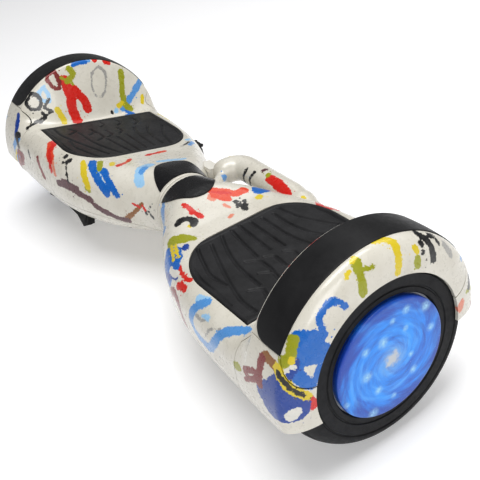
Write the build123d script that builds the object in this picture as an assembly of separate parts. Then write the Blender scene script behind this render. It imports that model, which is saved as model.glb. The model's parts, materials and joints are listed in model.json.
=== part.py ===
from build123d import *
import math
import os

# A two-wheeled self balancing board. Millimetres, +Z up, +X along the board from the left
# half to the right half, -Y towards the front (the way the rider faces), ground at Z = 0.
# Each half is drawn as a right half. The left half is mirrored, then turned about the pivot
# axis by the twist that the board rests at.

# ---------------------------------------------------------------- driving dimensions
TYRE_R = 82.5                 # 6.5 inch tyre
AXLE_Z = TYRE_R               # the tyres stand on Z = 0
HUB_FACE_X = 292.0            # half the board's length, to the hub cap's face
PIVOT_Z = AXLE_Z + 1.5        # axis of the joint between the halves
REST_TWIST = -12.8            # left half's angle to the right half at rest, about +X
TWIST_LIMIT = 18.0            # largest twist either way from level

SHAFT_R = 15.0                # hollow shaft of the middle joint
BOSS_R = SHAFT_R + 9.0        # frame boss round the shaft
NECK_R = BOSS_R + 9.0         # shell radius at the middle seam
SEAM_GAP = 0.8                # between the two seam rings
RING_WIDTH = 4.0
SHELL_START = SEAM_GAP / 2 + RING_WIDTH + 0.1
DECK_Z = AXLE_Z + 26.7        # top of the shell round the foot pad
BELLY_Z = AXLE_Z - 44.5       # underside of the shell
FENDER_R = TYRE_R + 9.8
BODY_HALF_WIDTH = FENDER_R - 1.3
TYRE_WIDE = 48.0
TYRE_OUT_X = HUB_FACE_X - 4.0
TYRE_IN_X = TYRE_OUT_X - TYRE_WIDE
BODY_END_X = TYRE_IN_X - 4.0  # end wall beside the wheel
WALL = 3.0
SEAM_Z = AXLE_Z - 24.5        # joint line between the upper and the lower shell

# wheel and fender, along X and out from the axle
TYRE_BEAD_R = TYRE_R - 22.5
HUB_CAP_R = TYRE_BEAD_R - 10.7
LIP_X = TYRE_OUT_X + 2.6
LIP_R = TYRE_BEAD_R + 7.0
STRIP_OUT_X = LIP_X - 13.6
STRIP_IN_X = STRIP_OUT_X - 32.0
FENDER_WALL_X = STRIP_IN_X - 28.0   # foot of the sloping fender wall, where the pad ends
STRIP_END_ANGLE = 29.3        # above the axle, front and rear
FENDER_REAR_Z = AXLE_Z - 6.5  # lower tips of the fender
FENDER_FRONT_Z = AXLE_Z - 18.5
LIP_SEAM_Z = AXLE_Z + 17.3    # where the corner joint line meets the lip
CORNER_Y = BODY_HALF_WIDTH - 22.0   # the lower shell climbs the corners beyond this
CORNER_X = FENDER_WALL_X + 9.0
STRIP_THICK = 1.8
STRIP_INLAY = 1.2

# foot pad
PAD_TOP_Z = DECK_Z + 0.8
PAD_THICK = 4.0
PAD_TRAVEL = 1.5
PAD_GAP = 0.6
PAD_END_GAP = 1.0
PAD_IN_X = 98.0
PAD_IN_HALF = 31.0
PAD_OUT_HALF = CORNER_Y
PAD_MID_HALF = PAD_OUT_HALF + 1.0
PLUNGER_R = 5.0
PLUNGER_XS = (132.0, 182.0)
BOARD_THICK = 1.6

# middle joint
SHAFT_BORE_R = SHAFT_R - 4.0
BOSS_START = 9.0
BOSS_END = 68.0
BUSH_WALL = 2.0
RUN_GAP = 0.05                # radial running clearance
STOP_PIN_R = 2.0
STOP_PIN_ORBIT = SHAFT_R + 5.2

# frame and axle
PLATE_Z = BELLY_Z + 12.0
PLATE_THICK = 5.0
AXLE_R = 8.0
SEAT_X1 = BODY_END_X - 7.0
SEAT_X0 = SEAT_X1 - 32.0
AXLE_START_X = SEAT_X0 + 1.0
SEAT_HALF = 24.0
CLAMP_TOP_Z = AXLE_Z + 13.0
FIT = 0.2                     # gap between fixed pieces

# carrying handle on the right half
HANDLE_R = 13.5
HANDLE_Y = 72.5
HANDLE_Z = PIVOT_Z + 11.0
HANDLE_FOOT_X = 106.0
ELBOW_X = -11.0
ELBOW_BEND = 16.0
ELBOW_END_Y = 55.0
WEB_R = 5.5

os.makedirs("parts", exist_ok=True)


# ---------------------------------------------------------------- helpers
def box(x0, x1, y0, y1, z0, z1):
    return Pos((x0 + x1) / 2, (y0 + y1) / 2, (z0 + z1) / 2) * Box(x1 - x0, y1 - y0, z1 - z0)


def rod_x(r, x0, x1, y=0.0, z=0.0):
    return Pos((x0 + x1) / 2, y, z) * Rot(0, 90, 0) * Cylinder(r, x1 - x0)


def rod_y(r, y0, y1, x=0.0, z=0.0):
    return Pos(x, (y0 + y1) / 2, z) * Rot(90, 0, 0) * Cylinder(r, y1 - y0)


def rod_z(r, z0, z1, x=0.0, y=0.0):
    return Pos(x, y, (z0 + z1) / 2) * Cylinder(r, z1 - z0)


def turned(points):
    """Solid of revolution about the axle, from (x, radius) corners."""
    face = make_face(Polyline([(x, 0, AXLE_Z + r) for x, r in points], close=True))
    return revolve(face, Axis((0, 0, AXLE_Z), (1, 0, 0)), 360)


def turned_edges(edges):
    face = make_face(edges)
    return revolve(face, Axis((0, 0, AXLE_Z), (1, 0, 0)), 360)


def at(x, r):
    return (x, 0, AXLE_Z + r)


def on_left(shape):
    """Mirror a right-hand piece to the left and turn it by the resting twist."""
    flipped = mirror(shape, about=Plane.YZ)
    return flipped.rotate(Axis((0, 0, PIVOT_Z), (1, 0, 0)), REST_TWIST)


def save(name, shape):
    solids = shape.solids()
    out = solids[0] if len(solids) == 1 else Compound(children=list(solids))
    out.label = name
    export_step(out, "parts/" + name + ".step")


# ---------------------------------------------------------------- shell form
def stations():
    """Cross-sections: x, half width, underside, top, upper radius, lower radius."""
    neck_low = PIVOT_Z - NECK_R
    neck_top = PIVOT_Z + NECK_R
    return [
        (SHELL_START, NECK_R, neck_low, neck_top, NECK_R - 0.3, NECK_R - 0.3),
        (24.0, 40.0, BELLY_Z + 10.0, neck_top, 33.0, 33.0),
        (50.0, 55.0, BELLY_Z + 5.5, DECK_Z + 5.0, 29.0, 35.0),
        (80.0, 70.0, BELLY_Z + 2.0, DECK_Z + 1.2, 26.0, 36.0),
        (112.0, BODY_HALF_WIDTH - 10.0, BELLY_Z, DECK_Z, 24.0, 37.0),
        (145.0, BODY_HALF_WIDTH - 4.0, BELLY_Z, DECK_Z, 23.0, 37.0),
        (BODY_END_X - 46.0, BODY_HALF_WIDTH - 0.8, BELLY_Z, DECK_Z, 22.0, 37.0),
        (BODY_END_X, BODY_HALF_WIDTH, BELLY_Z, DECK_Z, 22.0, 37.0),
    ]


def section(x, half, low, high, r_up, r_low, grow):
    half += grow
    low -= grow
    high += grow
    plane = Plane(origin=(x, 0, 0), x_dir=(0, 1, 0), z_dir=(1, 0, 0))
    outline = Polyline([(-half, low), (half, low), (half, high), (-half, high)], close=True)
    face = make_face(outline)
    corners = face.vertices()
    lower = [v for v in corners if v.Y < (low + high) / 2]
    upper = [v for v in corners if v.Y > (low + high) / 2]
    face = fillet(lower, r_low + grow)
    upper = [v for v in face.vertices() if v.Y > high - 0.01]
    face = fillet(upper, r_up + grow)
    return plane * face


def body_form(grow):
    """The lofted body, grown outwards by `grow` (negative for the inside of the wall)."""
    rows = stations()
    faces = []
    for i, row in enumerate(rows):
        x = row[0]
        if i == 0:
            x -= min(grow, 0.0)
        if i == len(rows) - 1:
            x += min(grow, 0.0)
        faces.append(section(x, *row[1:], grow))
    return loft(faces)


def above_fender_floor(x0, x1):
    """Space above the sloping line that joins the fender's two lower tips."""
    far = 130.0
    slope = (FENDER_REAR_Z - FENDER_FRONT_Z) / (2 * FENDER_R)
    middle = (FENDER_REAR_Z + FENDER_FRONT_Z) / 2
    rows = [(-far, middle - slope * far), (far, middle + slope * far), (far, 300), (-far, 300)]
    face = make_face(Polyline([(x0, y, z) for y, z in rows], close=True))
    return extrude(face, amount=x1 - x0, dir=(1, 0, 0))


def fender_wall():
    """The sloping wall: from the body's own section up to the round arch."""
    foot = section(FENDER_WALL_X, BODY_HALF_WIDTH - 0.3, BELLY_Z, DECK_Z, 22.0, 37.0, 0.0)
    arch_plane = Plane(origin=(STRIP_IN_X, 0, AXLE_Z), x_dir=(0, 1, 0), z_dir=(1, 0, 0))
    arch = arch_plane * RectangleRounded(2 * FENDER_R, 2 * FENDER_R, FENDER_R - 0.1)
    return loft([foot, arch], ruled=True)


def fender_form():
    edges = [
        Line(at(STRIP_IN_X, 0), at(STRIP_IN_X, FENDER_R)),
        Line(at(STRIP_IN_X, FENDER_R), at(STRIP_OUT_X, FENDER_R)),
        ThreePointArc(at(STRIP_OUT_X, FENDER_R), at(LIP_X - 3.4, LIP_R + 15.5),
                      at(LIP_X, LIP_R)),
        Line(at(LIP_X, LIP_R), at(LIP_X, 0)),
        Line(at(LIP_X, 0), at(STRIP_IN_X, 0)),
    ]
    space = above_fender_floor(FENDER_WALL_X - 10, LIP_X + 10)
    return (turned_edges(edges) & space) + (fender_wall() & space)


def fender_hollow():
    """Space behind the sloping fender wall, open to the body."""
    slant = WALL * 1.13
    inside = box(FENDER_WALL_X, BODY_END_X - WALL, -BODY_HALF_WIDTH + WALL + 1,
                 BODY_HALF_WIDTH - WALL - 1, AXLE_Z, 300)
    return (Pos(slant, 0, 0) * fender_wall()) & inside


def wheel_space():
    r_top = FENDER_R - WALL
    x0 = BODY_END_X + 1.0
    edges = [
        Line(at(x0, 0), at(x0, r_top - 3)),
        Line(at(x0, r_top - 3), at(x0 + 8, r_top)),
        Line(at(x0 + 8, r_top), at(STRIP_OUT_X - 1, r_top)),
        ThreePointArc(at(STRIP_OUT_X - 1, r_top), at(LIP_X - 5.4, LIP_R + 14.0),
                      at(LIP_X - 2.2, LIP_R - 1)),
        Line(at(LIP_X - 2.2, LIP_R - 1), at(LIP_X + 20, LIP_R - 1)),
        Line(at(LIP_X + 20, LIP_R - 1), at(LIP_X + 20, 0)),
        Line(at(LIP_X + 20, 0), at(x0, 0)),
    ]
    return turned_edges(edges)


def pad_outline(grow):
    """Foot pad outline, seen from above: wide at the fender, rounded towards the neck."""
    x0 = PAD_IN_X - grow
    x1 = FENDER_WALL_X - PAD_END_GAP + grow
    inner = PAD_IN_HALF
    mid = PAD_MID_HALF + grow
    out = PAD_OUT_HALF + grow
    edges = [
        Line((x0, -inner), (x0, inner)),
        Spline([(x0, inner), (PAD_IN_X + 11 - grow * 0.7, 54.0 + grow * 0.7), (150.0, mid)],
               tangents=[(0, 1), (1, 0)]),
        Line((150.0, mid), (x1, out)),
        Line((x1, out), (x1, -out)),
        Line((x1, -out), (150.0, -mid)),
        Spline([(150.0, -mid), (PAD_IN_X + 11 - grow * 0.7, -54.0 - grow * 0.7), (x0, -inner)],
               tangents=[(-1, 0), (0, 1)]),
    ]
    return make_face(edges)


def pad_prism(grow, z0, z1):
    return extrude(Pos(0, 0, z0) * pad_outline(grow), amount=z1 - z0)


def lower_region():
    """Everything that belongs to the lower shell: the pan and the climbing corners."""
    pan = box(-10, BODY_END_X + 2, -120, 120, 0, SEAM_Z)
    strip_z = AXLE_Z + FENDER_R * math.sin(math.radians(STRIP_END_ANGLE))
    rows = [
        (CORNER_X, 0), (CORNER_X, DECK_Z - 2), (STRIP_IN_X, strip_z), (STRIP_OUT_X, strip_z),
        (LIP_X + 0.5, LIP_SEAM_Z), (LIP_X + 8, LIP_SEAM_Z), (LIP_X + 8, 0),
    ]
    outline = make_face(Polyline([(x, 0, z) for x, z in rows], close=True))
    front = Pos(0, -CORNER_Y, 0) * extrude(outline, amount=60, dir=(0, -1, 0))
    rear = Pos(0, CORNER_Y, 0) * extrude(outline, amount=60, dir=(0, 1, 0))
    lip = box(STRIP_OUT_X, LIP_X + 8, -120, 120, 0, LIP_SEAM_Z - 20)
    return pan + front + rear + lip


SCREW_SPOTS = [
    (54.0, 36.0), (108.0, BODY_HALF_WIDTH - 27.0),
    (FENDER_WALL_X - 41.0, BODY_HALF_WIDTH - 20.0), (FENDER_WALL_X - 3.0, BODY_HALF_WIDTH - 19.0),
]
SCREW_R = 1.9
SCREW_HEAD_R = 3.4
SCREW_HEAD_Z = SEAM_Z - 8.0


def screw_places():
    return [(x, side * y) for x, y in SCREW_SPOTS for side in (-1, 1)]


def shells():
    """Upper and lower shell of one half, in the right-hand place."""
    outer = body_form(0.0)
    fender = fender_form()
    inner = body_form(-WALL)
    tray_floor = PAD_TOP_Z - PAD_THICK - PAD_TRAVEL - 0.2
    tray = pad_prism(PAD_GAP + 2.5, tray_floor - 2.5, DECK_Z) & outer
    hollow = inner + fender_hollow()
    full = (outer + fender) - hollow + (tray & body_form(-0.5))
    full = full - wheel_space()
    full = full - pad_prism(PAD_GAP, tray_floor, PAD_TOP_Z + 1)
    for px in PLUNGER_XS:
        full = full - rod_z(PLUNGER_R + 1.0, tray_floor - 5, tray_floor + 1, px)
    # neck mouth for the frame boss, and the slot that drops over the axle
    full = full - rod_x(BOSS_R + 0.8, SHELL_START - 2, SHELL_START + 8, 0, PIVOT_Z)
    full = full - rod_x(AXLE_R + 1.0, BODY_END_X - 8, BODY_END_X + 8, 0, AXLE_Z)
    full = full - box(BODY_END_X - 8, BODY_END_X + 8, -AXLE_R - 1, AXLE_R + 1, SEAM_Z - 6, AXLE_Z)
    # bed for the bumper strip
    full = full - strip_form(0.15, FENDER_R - STRIP_INLAY)
    region = lower_region()
    upper = full - region
    lower = full & region
    for px, py in screw_places():
        post = rod_z(5.0, SEAM_Z, DECK_Z, px, py) & body_form(-1.0)
        upper = upper + (post - pad_prism(PAD_GAP, tray_floor, PAD_TOP_Z + 1))
        upper = upper - rod_z(SCREW_R, SEAM_Z - 1, SEAM_Z + 22, px, py)
        lower = lower + (rod_z(5.5, 0, SEAM_Z, px, py) & body_form(-1.0))
        lower = lower - rod_z(SCREW_R + 0.2, 0, SEAM_Z + 1, px, py)
        lower = lower - rod_z(SCREW_HEAD_R + 0.5, 0, SCREW_HEAD_Z, px, py)
    return upper, lower


def strip_form(grow, r_in):
    """Bumper strip over the fender crown, ends cut on a slant."""
    r_out = FENDER_R + STRIP_THICK - STRIP_INLAY + (1.0 if grow > 0 else 0.0)
    ring = turned([
        (STRIP_IN_X + 0.8 - grow, r_in), (STRIP_OUT_X - 0.3 + grow, r_in),
        (STRIP_OUT_X - 0.3 + grow, r_out - 0.8), (STRIP_OUT_X - 2.3, r_out),
        (STRIP_IN_X + 2.8, r_out), (STRIP_IN_X + 0.8 - grow, r_out - 0.8),
    ])
    low = AXLE_Z + FENDER_R * math.sin(math.radians(STRIP_END_ANGLE)) - grow
    return ring & box(STRIP_IN_X - 5, STRIP_OUT_X + 5, -120, 120, low, 300)


TRIM_REACH = 38.0
TRIM_SPREAD = 28.0


def trim_oval():
    return Pos(SHELL_START, 0, PIVOT_Z) * extrude(Ellipse(TRIM_REACH, TRIM_SPREAD), amount=60)


def neck_trim():
    """Crescent cap on top of the neck."""
    skin = body_form(1.0) - body_form(0.05)
    keep = box(SHELL_START + 0.3, 80, -60, 60, PIVOT_Z + 6, 150)
    return skin & trim_oval() & keep


def seam_ring():
    x0 = SEAM_GAP / 2
    ring = rod_x(NECK_R + 0.8, x0, x0 + RING_WIDTH, 0, PIVOT_Z)
    ring = chamfer(ring.edges().filter_by(GeomType.CIRCLE), 0.8)
    return ring - rod_x(NECK_R - 5.0, x0 - 1, x0 + RING_WIDTH + 1, 0, PIVOT_Z)


# ---------------------------------------------------------------- frame and middle joint
def frame_casting(bore_r):
    plate = make_face(Polyline([
        (48, -24), (60, -24), (94, -50), (SEAT_X1, -56), (SEAT_X1, 56), (94, 50), (60, 24),
        (48, 24)], close=True))
    plate = extrude(Pos(0, 0, PLATE_Z) * plate, amount=PLATE_THICK)
    for px, py in screw_places():
        plate = plate - rod_z(7.0, PLATE_Z - 1, PLATE_Z + PLATE_THICK + 1, px, py)
    boss = rod_x(BOSS_R, BOSS_START, BOSS_END, 0, PIVOT_Z)
    web = box(48, BOSS_END, -9, 9, PLATE_Z + 1, PIVOT_Z - BOSS_R + 4)
    rib = box(BOSS_END - 1, SEAT_X0 + 1, -2, 2, PLATE_Z + 1, PLATE_Z + PLATE_THICK + 0.4)
    seat = box(SEAT_X0, SEAT_X1, -SEAT_HALF, SEAT_HALF, PLATE_Z + 1, AXLE_Z - FIT)
    frame = plate + boss + web + rib + seat
    frame = frame - rod_x(bore_r, BOSS_START - 1, BOSS_END + 1, 0, PIVOT_Z)
    frame = frame - rod_x(AXLE_R + FIT / 2, SEAT_X0 - 1, SEAT_X1 + 1, 0, AXLE_Z)
    for px, py in clamp_spots():
        frame = frame - rod_z(3.0 + FIT / 2, AXLE_Z - 16, AXLE_Z + 1, px, py)
    return frame


def clamp_spots():
    return [(SEAT_X0 + dx, side * 17.0) for dx in (8.0, 24.0) for side in (-1, 1)]


def axle_clamp():
    cap = box(SEAT_X0, SEAT_X1, -SEAT_HALF, SEAT_HALF, AXLE_Z + FIT, CLAMP_TOP_Z)
    cap = cap - rod_x(AXLE_R + FIT / 2, SEAT_X0 - 1, SEAT_X1 + 1, 0, AXLE_Z)
    for px, py in clamp_spots():
        cap = cap - rod_z(3.0 + FIT / 2, AXLE_Z, CLAMP_TOP_Z + 1, px, py)
    return cap


def clamp_screws():
    group = None
    for px, py in clamp_spots():
        shank = rod_z(3.0, AXLE_Z - 15, CLAMP_TOP_Z + 0.1, px, py)
        head = rod_z(5.0, CLAMP_TOP_Z + 0.1, CLAMP_TOP_Z + 5, px, py)
        socket = Pos(px, py, CLAMP_TOP_Z + 3.5) * extrude(RegularPolygon(2.5, 6), amount=3)
        screw = shank + head - socket
        group = screw if group is None else group + screw
    return group


def stop_slot():
    """Arc slot in the left frame's boss that the stop pin runs in."""
    half = TWIST_LIMIT + math.degrees(math.asin((STOP_PIN_R + 0.25) / STOP_PIN_ORBIT))
    ring = rod_x(STOP_PIN_ORBIT + STOP_PIN_R + 0.4, BOSS_START - 1, BOSS_START + 7, 0, PIVOT_Z)
    ring = ring - rod_x(STOP_PIN_ORBIT - STOP_PIN_R - 0.4, BOSS_START - 2, BOSS_START + 8, 0, PIVOT_Z)
    reach = 60.0
    wide = reach * math.tan(math.radians(half))
    wedge = make_face(Polyline([(0, 0, PIVOT_Z), (0, -wide, PIVOT_Z + reach),
                                (0, wide, PIVOT_Z + reach)], close=True))
    wedge = extrude(wedge, amount=40, dir=(1, 0, 0))
    return ring & wedge


# ---------------------------------------------------------------- wheel and hub motor
def tyre():
    crown_x = (TYRE_IN_X + TYRE_OUT_X) / 2
    edges = [
        Line(at(TYRE_IN_X + 1, TYRE_BEAD_R), at(TYRE_IN_X, 72.0)),
        ThreePointArc(at(TYRE_IN_X, 72.0), at(crown_x, TYRE_R), at(TYRE_OUT_X - 2, 69.0)),
        Line(at(TYRE_OUT_X - 2, 69.0), at(TYRE_OUT_X, TYRE_BEAD_R)),
        Line(at(TYRE_OUT_X, TYRE_BEAD_R), at(TYRE_OUT_X, HUB_CAP_R + 1.2)),
        Line(at(TYRE_OUT_X, HUB_CAP_R + 1.2), at(TYRE_OUT_X - 3.5, HUB_CAP_R + 1.2)),
        Line(at(TYRE_OUT_X - 3.5, HUB_CAP_R + 1.2), at(TYRE_OUT_X - 3.5, TYRE_BEAD_R)),
        Line(at(TYRE_OUT_X - 3.5, TYRE_BEAD_R), at(TYRE_IN_X + 1, TYRE_BEAD_R)),
    ]
    body = turned_edges(edges)
    # tread grooves round the inner and outer shoulders
    for gx in (crown_x - 11.0, crown_x + 11.0):
        body = body - turned([(gx - 1, TYRE_R - 4.4), (gx + 1, TYRE_R - 4.4),
                              (gx + 1, TYRE_R + 2), (gx - 1, TYRE_R + 2)])
    return body


RIM_R = TYRE_BEAD_R - 0.2
RIM_IN_X = TYRE_IN_X + 2.0
RIM_OUT_X = TYRE_OUT_X - 3.7
MAGNET_R = TYRE_BEAD_R - 6.0
BEARING_R = 16.0
BEARING_WIDE = 6.0
OUTER_BEARING_X = RIM_OUT_X - BEARING_WIDE - 1.0
INNER_BEARING_X = RIM_IN_X + 1.0
STATOR_R = MAGNET_R - 4.5
STATOR_X0 = RIM_IN_X + 9.0
STATOR_X1 = RIM_OUT_X - 10.0


def hub_rim():
    rim = turned([
        (RIM_IN_X, MAGNET_R), (RIM_IN_X, RIM_R), (RIM_OUT_X, RIM_R), (RIM_OUT_X, BEARING_R - 4),
        (RIM_OUT_X - 1, BEARING_R - 4), (RIM_OUT_X - 1, BEARING_R + RUN_GAP),
        (OUTER_BEARING_X, BEARING_R + RUN_GAP), (OUTER_BEARING_X, BEARING_R + 5),
        (RIM_OUT_X - 5, BEARING_R + 7), (RIM_OUT_X - 5, MAGNET_R)])
    return rim


def hub_cover():
    cover = turned([
        (RIM_IN_X, BEARING_R - 3), (RIM_IN_X, MAGNET_R - 0.1), (RIM_IN_X + 4, MAGNET_R - 0.1),
        (RIM_IN_X + 4, BEARING_R + 4), (INNER_BEARING_X + BEARING_WIDE, BEARING_R + 4),
        (INNER_BEARING_X + BEARING_WIDE, BEARING_R + RUN_GAP),
        (INNER_BEARING_X, BEARING_R + RUN_GAP), (INNER_BEARING_X, BEARING_R - 3)])
    for k in range(6):
        a = math.radians(60 * k)
        cover = cover - rod_x(1.6, RIM_IN_X - 1, RIM_IN_X + 5, 48 * math.cos(a),
                              AXLE_Z + 48 * math.sin(a))
    return cover


def wheel_bearings():
    group = None
    for x0 in (INNER_BEARING_X, OUTER_BEARING_X):
        race = turned([(x0, AXLE_R + RUN_GAP), (x0, BEARING_R), (x0 + BEARING_WIDE, BEARING_R),
                       (x0 + BEARING_WIDE, AXLE_R + RUN_GAP)])
        group = race if group is None else group + race
    return group


def magnet_ring():
    return turned([(RIM_IN_X + 6, MAGNET_R - 3), (RIM_IN_X + 6, MAGNET_R - 0.05),
                   (RIM_OUT_X - 6, MAGNET_R - 0.05), (RIM_OUT_X - 6, MAGNET_R - 3)])


def hub_cap():
    edge_x = TYRE_OUT_X - 0.6
    cap = turned([(RIM_OUT_X + 0.1, HUB_CAP_R - 3), (RIM_OUT_X + 0.1, HUB_CAP_R - 0.6),
                  (edge_x, HUB_CAP_R - 0.6), (edge_x + 0.8, HUB_CAP_R), (HUB_FACE_X - 1.6, HUB_CAP_R),
                  (HUB_FACE_X - 0.5, HUB_CAP_R - 1.4), (HUB_FACE_X, HUB_CAP_R - 6), (HUB_FACE_X, 0),
                  (HUB_FACE_X - 2.4, 0), (HUB_FACE_X - 2.4, HUB_CAP_R - 3)])
    return cap


def stator():
    core = turned([(STATOR_X0, AXLE_R + FIT / 2), (STATOR_X0, STATOR_R), (STATOR_X1, STATOR_R),
                   (STATOR_X1, AXLE_R + FIT / 2)])
    teeth = 18
    for k in range(teeth):
        slot = box(STATOR_X0 - 1, STATOR_X1 + 1, -2.0, 2.0, AXLE_Z + 26, AXLE_Z + STATOR_R + 1)
        core = core - slot.rotate(Axis((0, 0, AXLE_Z), (1, 0, 0)), 360 / teeth * k)
    return core


def axle():
    shaft = rod_x(AXLE_R, AXLE_START_X, RIM_OUT_X - 1.5, 0, AXLE_Z)
    cable_way = rod_x(3.0, AXLE_START_X - 1, AXLE_START_X + 24, 0, AXLE_Z)
    return shaft - cable_way


# ---------------------------------------------------------------- small pieces of a half
def foot_pad():
    pad = pad_prism(0.0, PAD_TOP_Z - PAD_THICK, PAD_TOP_Z)
    pad = chamfer(pad.faces().sort_by(Axis.Z)[-1].edges(), 0.8)
    foot_z = PAD_TOP_Z - PAD_THICK - 7.5
    for px in PLUNGER_XS:
        pad = pad + rod_z(PLUNGER_R, foot_z, PAD_TOP_Z - PAD_THICK + 0.5, px)
    return pad


def sensor_board():
    top = PAD_TOP_Z - PAD_THICK - 7.5 - PAD_TRAVEL - 0.3
    board = box(112, 194, -26, 26, top - BOARD_THICK, top)
    for px in PLUNGER_XS:
        board = board + box(px - 6, px + 6, 9, 15, top, top + 4)
    return board


def shell_screws():
    group = None
    for px, py in screw_places():
        screw = rod_z(SCREW_R - 0.1, SCREW_HEAD_Z, SEAM_Z + 20, px, py)
        screw = screw + rod_z(SCREW_HEAD_R, SCREW_HEAD_Z - 2.4, SCREW_HEAD_Z, px, py)
        group = screw if group is None else group + screw
    return group


SKID_Y = BODY_HALF_WIDTH - 31.0
SKID_X0, SKID_X1 = 104.0, FENDER_WALL_X - 11.0


def rubber_feet():
    """Skid rails under the front and rear edges, a nub at the outer end of each."""
    group = None
    below = body_form(0.1)
    for side in (-1, 1):
        y = side * SKID_Y
        rail = box(SKID_X0, SKID_X1, y - 4, y + 4, BELLY_Z - 3, BELLY_Z + 12)
        wedge = make_face(Polyline([(SKID_X0, 0, BELLY_Z + 10), (SKID_X0 + 26, 0, BELLY_Z - 2),
                                    (SKID_X0 + 10, 0, BELLY_Z - 9)], close=True))
        wedge = Pos(0, y - 5, 0) * extrude(wedge, amount=10, dir=(0, 1, 0))
        nub = rod_z(8.0, BELLY_Z - 8, BELLY_Z + 12, SKID_X1, y)
        nub = chamfer(nub.edges().sort_by(Axis.Z)[0], 2.5)
        foot = rail + wedge + nub - below
        group = foot if group is None else group + foot
    return group


# ---------------------------------------------------------------- carrying handle
def handle():
    """Loop handle behind the neck: a tube, an elbow past the seam and a web back to the neck."""
    tube_path = FilletPolyline([(HANDLE_FOOT_X, HANDLE_Y, HANDLE_Z), (ELBOW_X, HANDLE_Y, HANDLE_Z),
                                (ELBOW_X, ELBOW_END_Y, HANDLE_Z)], radius=ELBOW_BEND)
    tube = sweep(Plane(tube_path @ 0, z_dir=tube_path % 0) * Circle(HANDLE_R), path=tube_path)
    tube = tube + Pos(ELBOW_X, ELBOW_END_Y, HANDLE_Z) * Sphere(HANDLE_R)
    tube = tube + Pos(HANDLE_FOOT_X, HANDLE_Y, HANDLE_Z) * Sphere(HANDLE_R)
    web_path = Line((ELBOW_X, ELBOW_END_Y - 2, HANDLE_Z), (11.0, 26.0, HANDLE_Z + 2))
    web = sweep(Plane(web_path @ 0, z_dir=web_path % 0) * Circle(WEB_R), path=web_path)
    loop = tube + web
    loop = loop - body_form(0.05) - (body_form(1.1) & trim_oval())
    loop = loop - rod_x(NECK_R + 1.4, -20, SHELL_START + 0.5, 0, PIVOT_Z)
    pieces = sorted(loop.solids(), key=lambda s: s.volume)
    return pieces[-1]


def handle_guide():
    """Two short bars and a back plate on the left half, facing the handle's end."""
    y0, y1 = 43.0, 57.0
    upper = box(29, 52, y0, y1, HANDLE_Z + 5, HANDLE_Z + 9)
    lower = box(29, 52, y0, y1, HANDLE_Z - 9, HANDLE_Z - 5)
    rib = box(36, 52, y0, y1 - 2, HANDLE_Z - 6, HANDLE_Z + 6)
    guide = upper + lower + rib
    guide = guide - body_form(0.05)
    pieces = sorted(guide.solids(), key=lambda s: s.volume)
    return pieces[-1]


# ---------------------------------------------------------------- build every node
def build_half(prefix, place):
    upper, lower = shells()
    if prefix == "left":
        upper = upper - port_cuts()
    save(prefix + "_upper_shell", place(upper))
    save(prefix + "_lower_shell", place(lower))
    save(prefix + "_bumper_strip", place(strip_form(0.0, FENDER_R - STRIP_INLAY + 0.05)))
    save(prefix + "_neck_trim", place(neck_trim()))
    save(prefix + "_seam_ring", place(seam_ring()))
    save(prefix + "_foot_pad", place(foot_pad()))
    save(prefix + "_sensor_board", place(sensor_board()))
    save(prefix + "_shell_screws", place(shell_screws()))
    save(prefix + "_rubber_feet", place(rubber_feet()))
    save(prefix + "_axle_clamp", place(axle_clamp()))
    save(prefix + "_clamp_screws", place(clamp_screws()))
    save(prefix + "_axle", place(axle()))
    save(prefix + "_stator", place(stator()))
    save(prefix + "_tyre", place(tyre()))
    save(prefix + "_hub_rim", place(hub_rim()))
    save(prefix + "_hub_cover", place(hub_cover()))
    save(prefix + "_hub_cap", place(hub_cap()))
    save(prefix + "_magnet_ring", place(magnet_ring()))
    save(prefix + "_wheel_bearings", place(wheel_bearings()))


# power button and charging inlet, in the rear wall of the left half
BUTTON_X = 158.0
INLET_X = 128.0
PORT_Z = AXLE_Z - 2.5
BUTTON_R = 8.0
BUTTON_STEM_R = 3.0
INLET_R = 9.0
INLET_BORE_R = 6.2
BODY = body_form(0.0)


def rear_wall_y(x):
    """Where the shell's rear wall is along Y at x, on the port line."""
    slice_at_port = BODY & box(x - 0.1, x + 0.1, 0, 2 * BODY_HALF_WIDTH, PORT_Z - 4, PORT_Z + 4)
    return slice_at_port.bounding_box().max.Y


BUTTON_WALL_Y = rear_wall_y(BUTTON_X)
INLET_WALL_Y = rear_wall_y(INLET_X + INLET_R)


def port_cuts():
    cut = rod_y(BUTTON_R + 1.6 + FIT, BUTTON_WALL_Y - 20, BUTTON_WALL_Y + 20, BUTTON_X, PORT_Z)
    cut = cut + rod_y(INLET_R + FIT, INLET_WALL_Y - 20, INLET_WALL_Y + 20, INLET_X, PORT_Z)
    return cut


def power_bezel():
    y = BUTTON_WALL_Y
    bezel = rod_y(BUTTON_R + 1.6, y - 9.5, y + 0.6, BUTTON_X, PORT_Z)
    bezel = bezel - rod_y(BUTTON_R + 0.1, y - 7, y + 2, BUTTON_X, PORT_Z)
    bezel = bezel - rod_y(BUTTON_STEM_R + 0.4, y - 10, y - 6, BUTTON_X, PORT_Z)
    return bezel


def power_button():
    y = BUTTON_WALL_Y
    button = rod_y(BUTTON_R, y - 3.5, y + 1.4, BUTTON_X, PORT_Z)
    button = chamfer(button.edges().sort_by(Axis.Y)[-1], 0.8)
    return button + rod_y(BUTTON_STEM_R, y - 8.2, y - 3, BUTTON_X, PORT_Z)


def charge_inlet():
    y = INLET_WALL_Y - 1.5
    inlet = rod_y(INLET_R, y - 16, y, INLET_X, PORT_Z)
    inlet = inlet - rod_y(INLET_BORE_R, y - 12, y + 1, INLET_X, PORT_Z)
    for k in range(3):
        a = math.radians(120 * k + 90)
        inlet = inlet + rod_y(1.0, y - 12.5, y - 4, INLET_X + 3 * math.cos(a), PORT_Z + 3 * math.sin(a))
    return inlet


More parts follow.
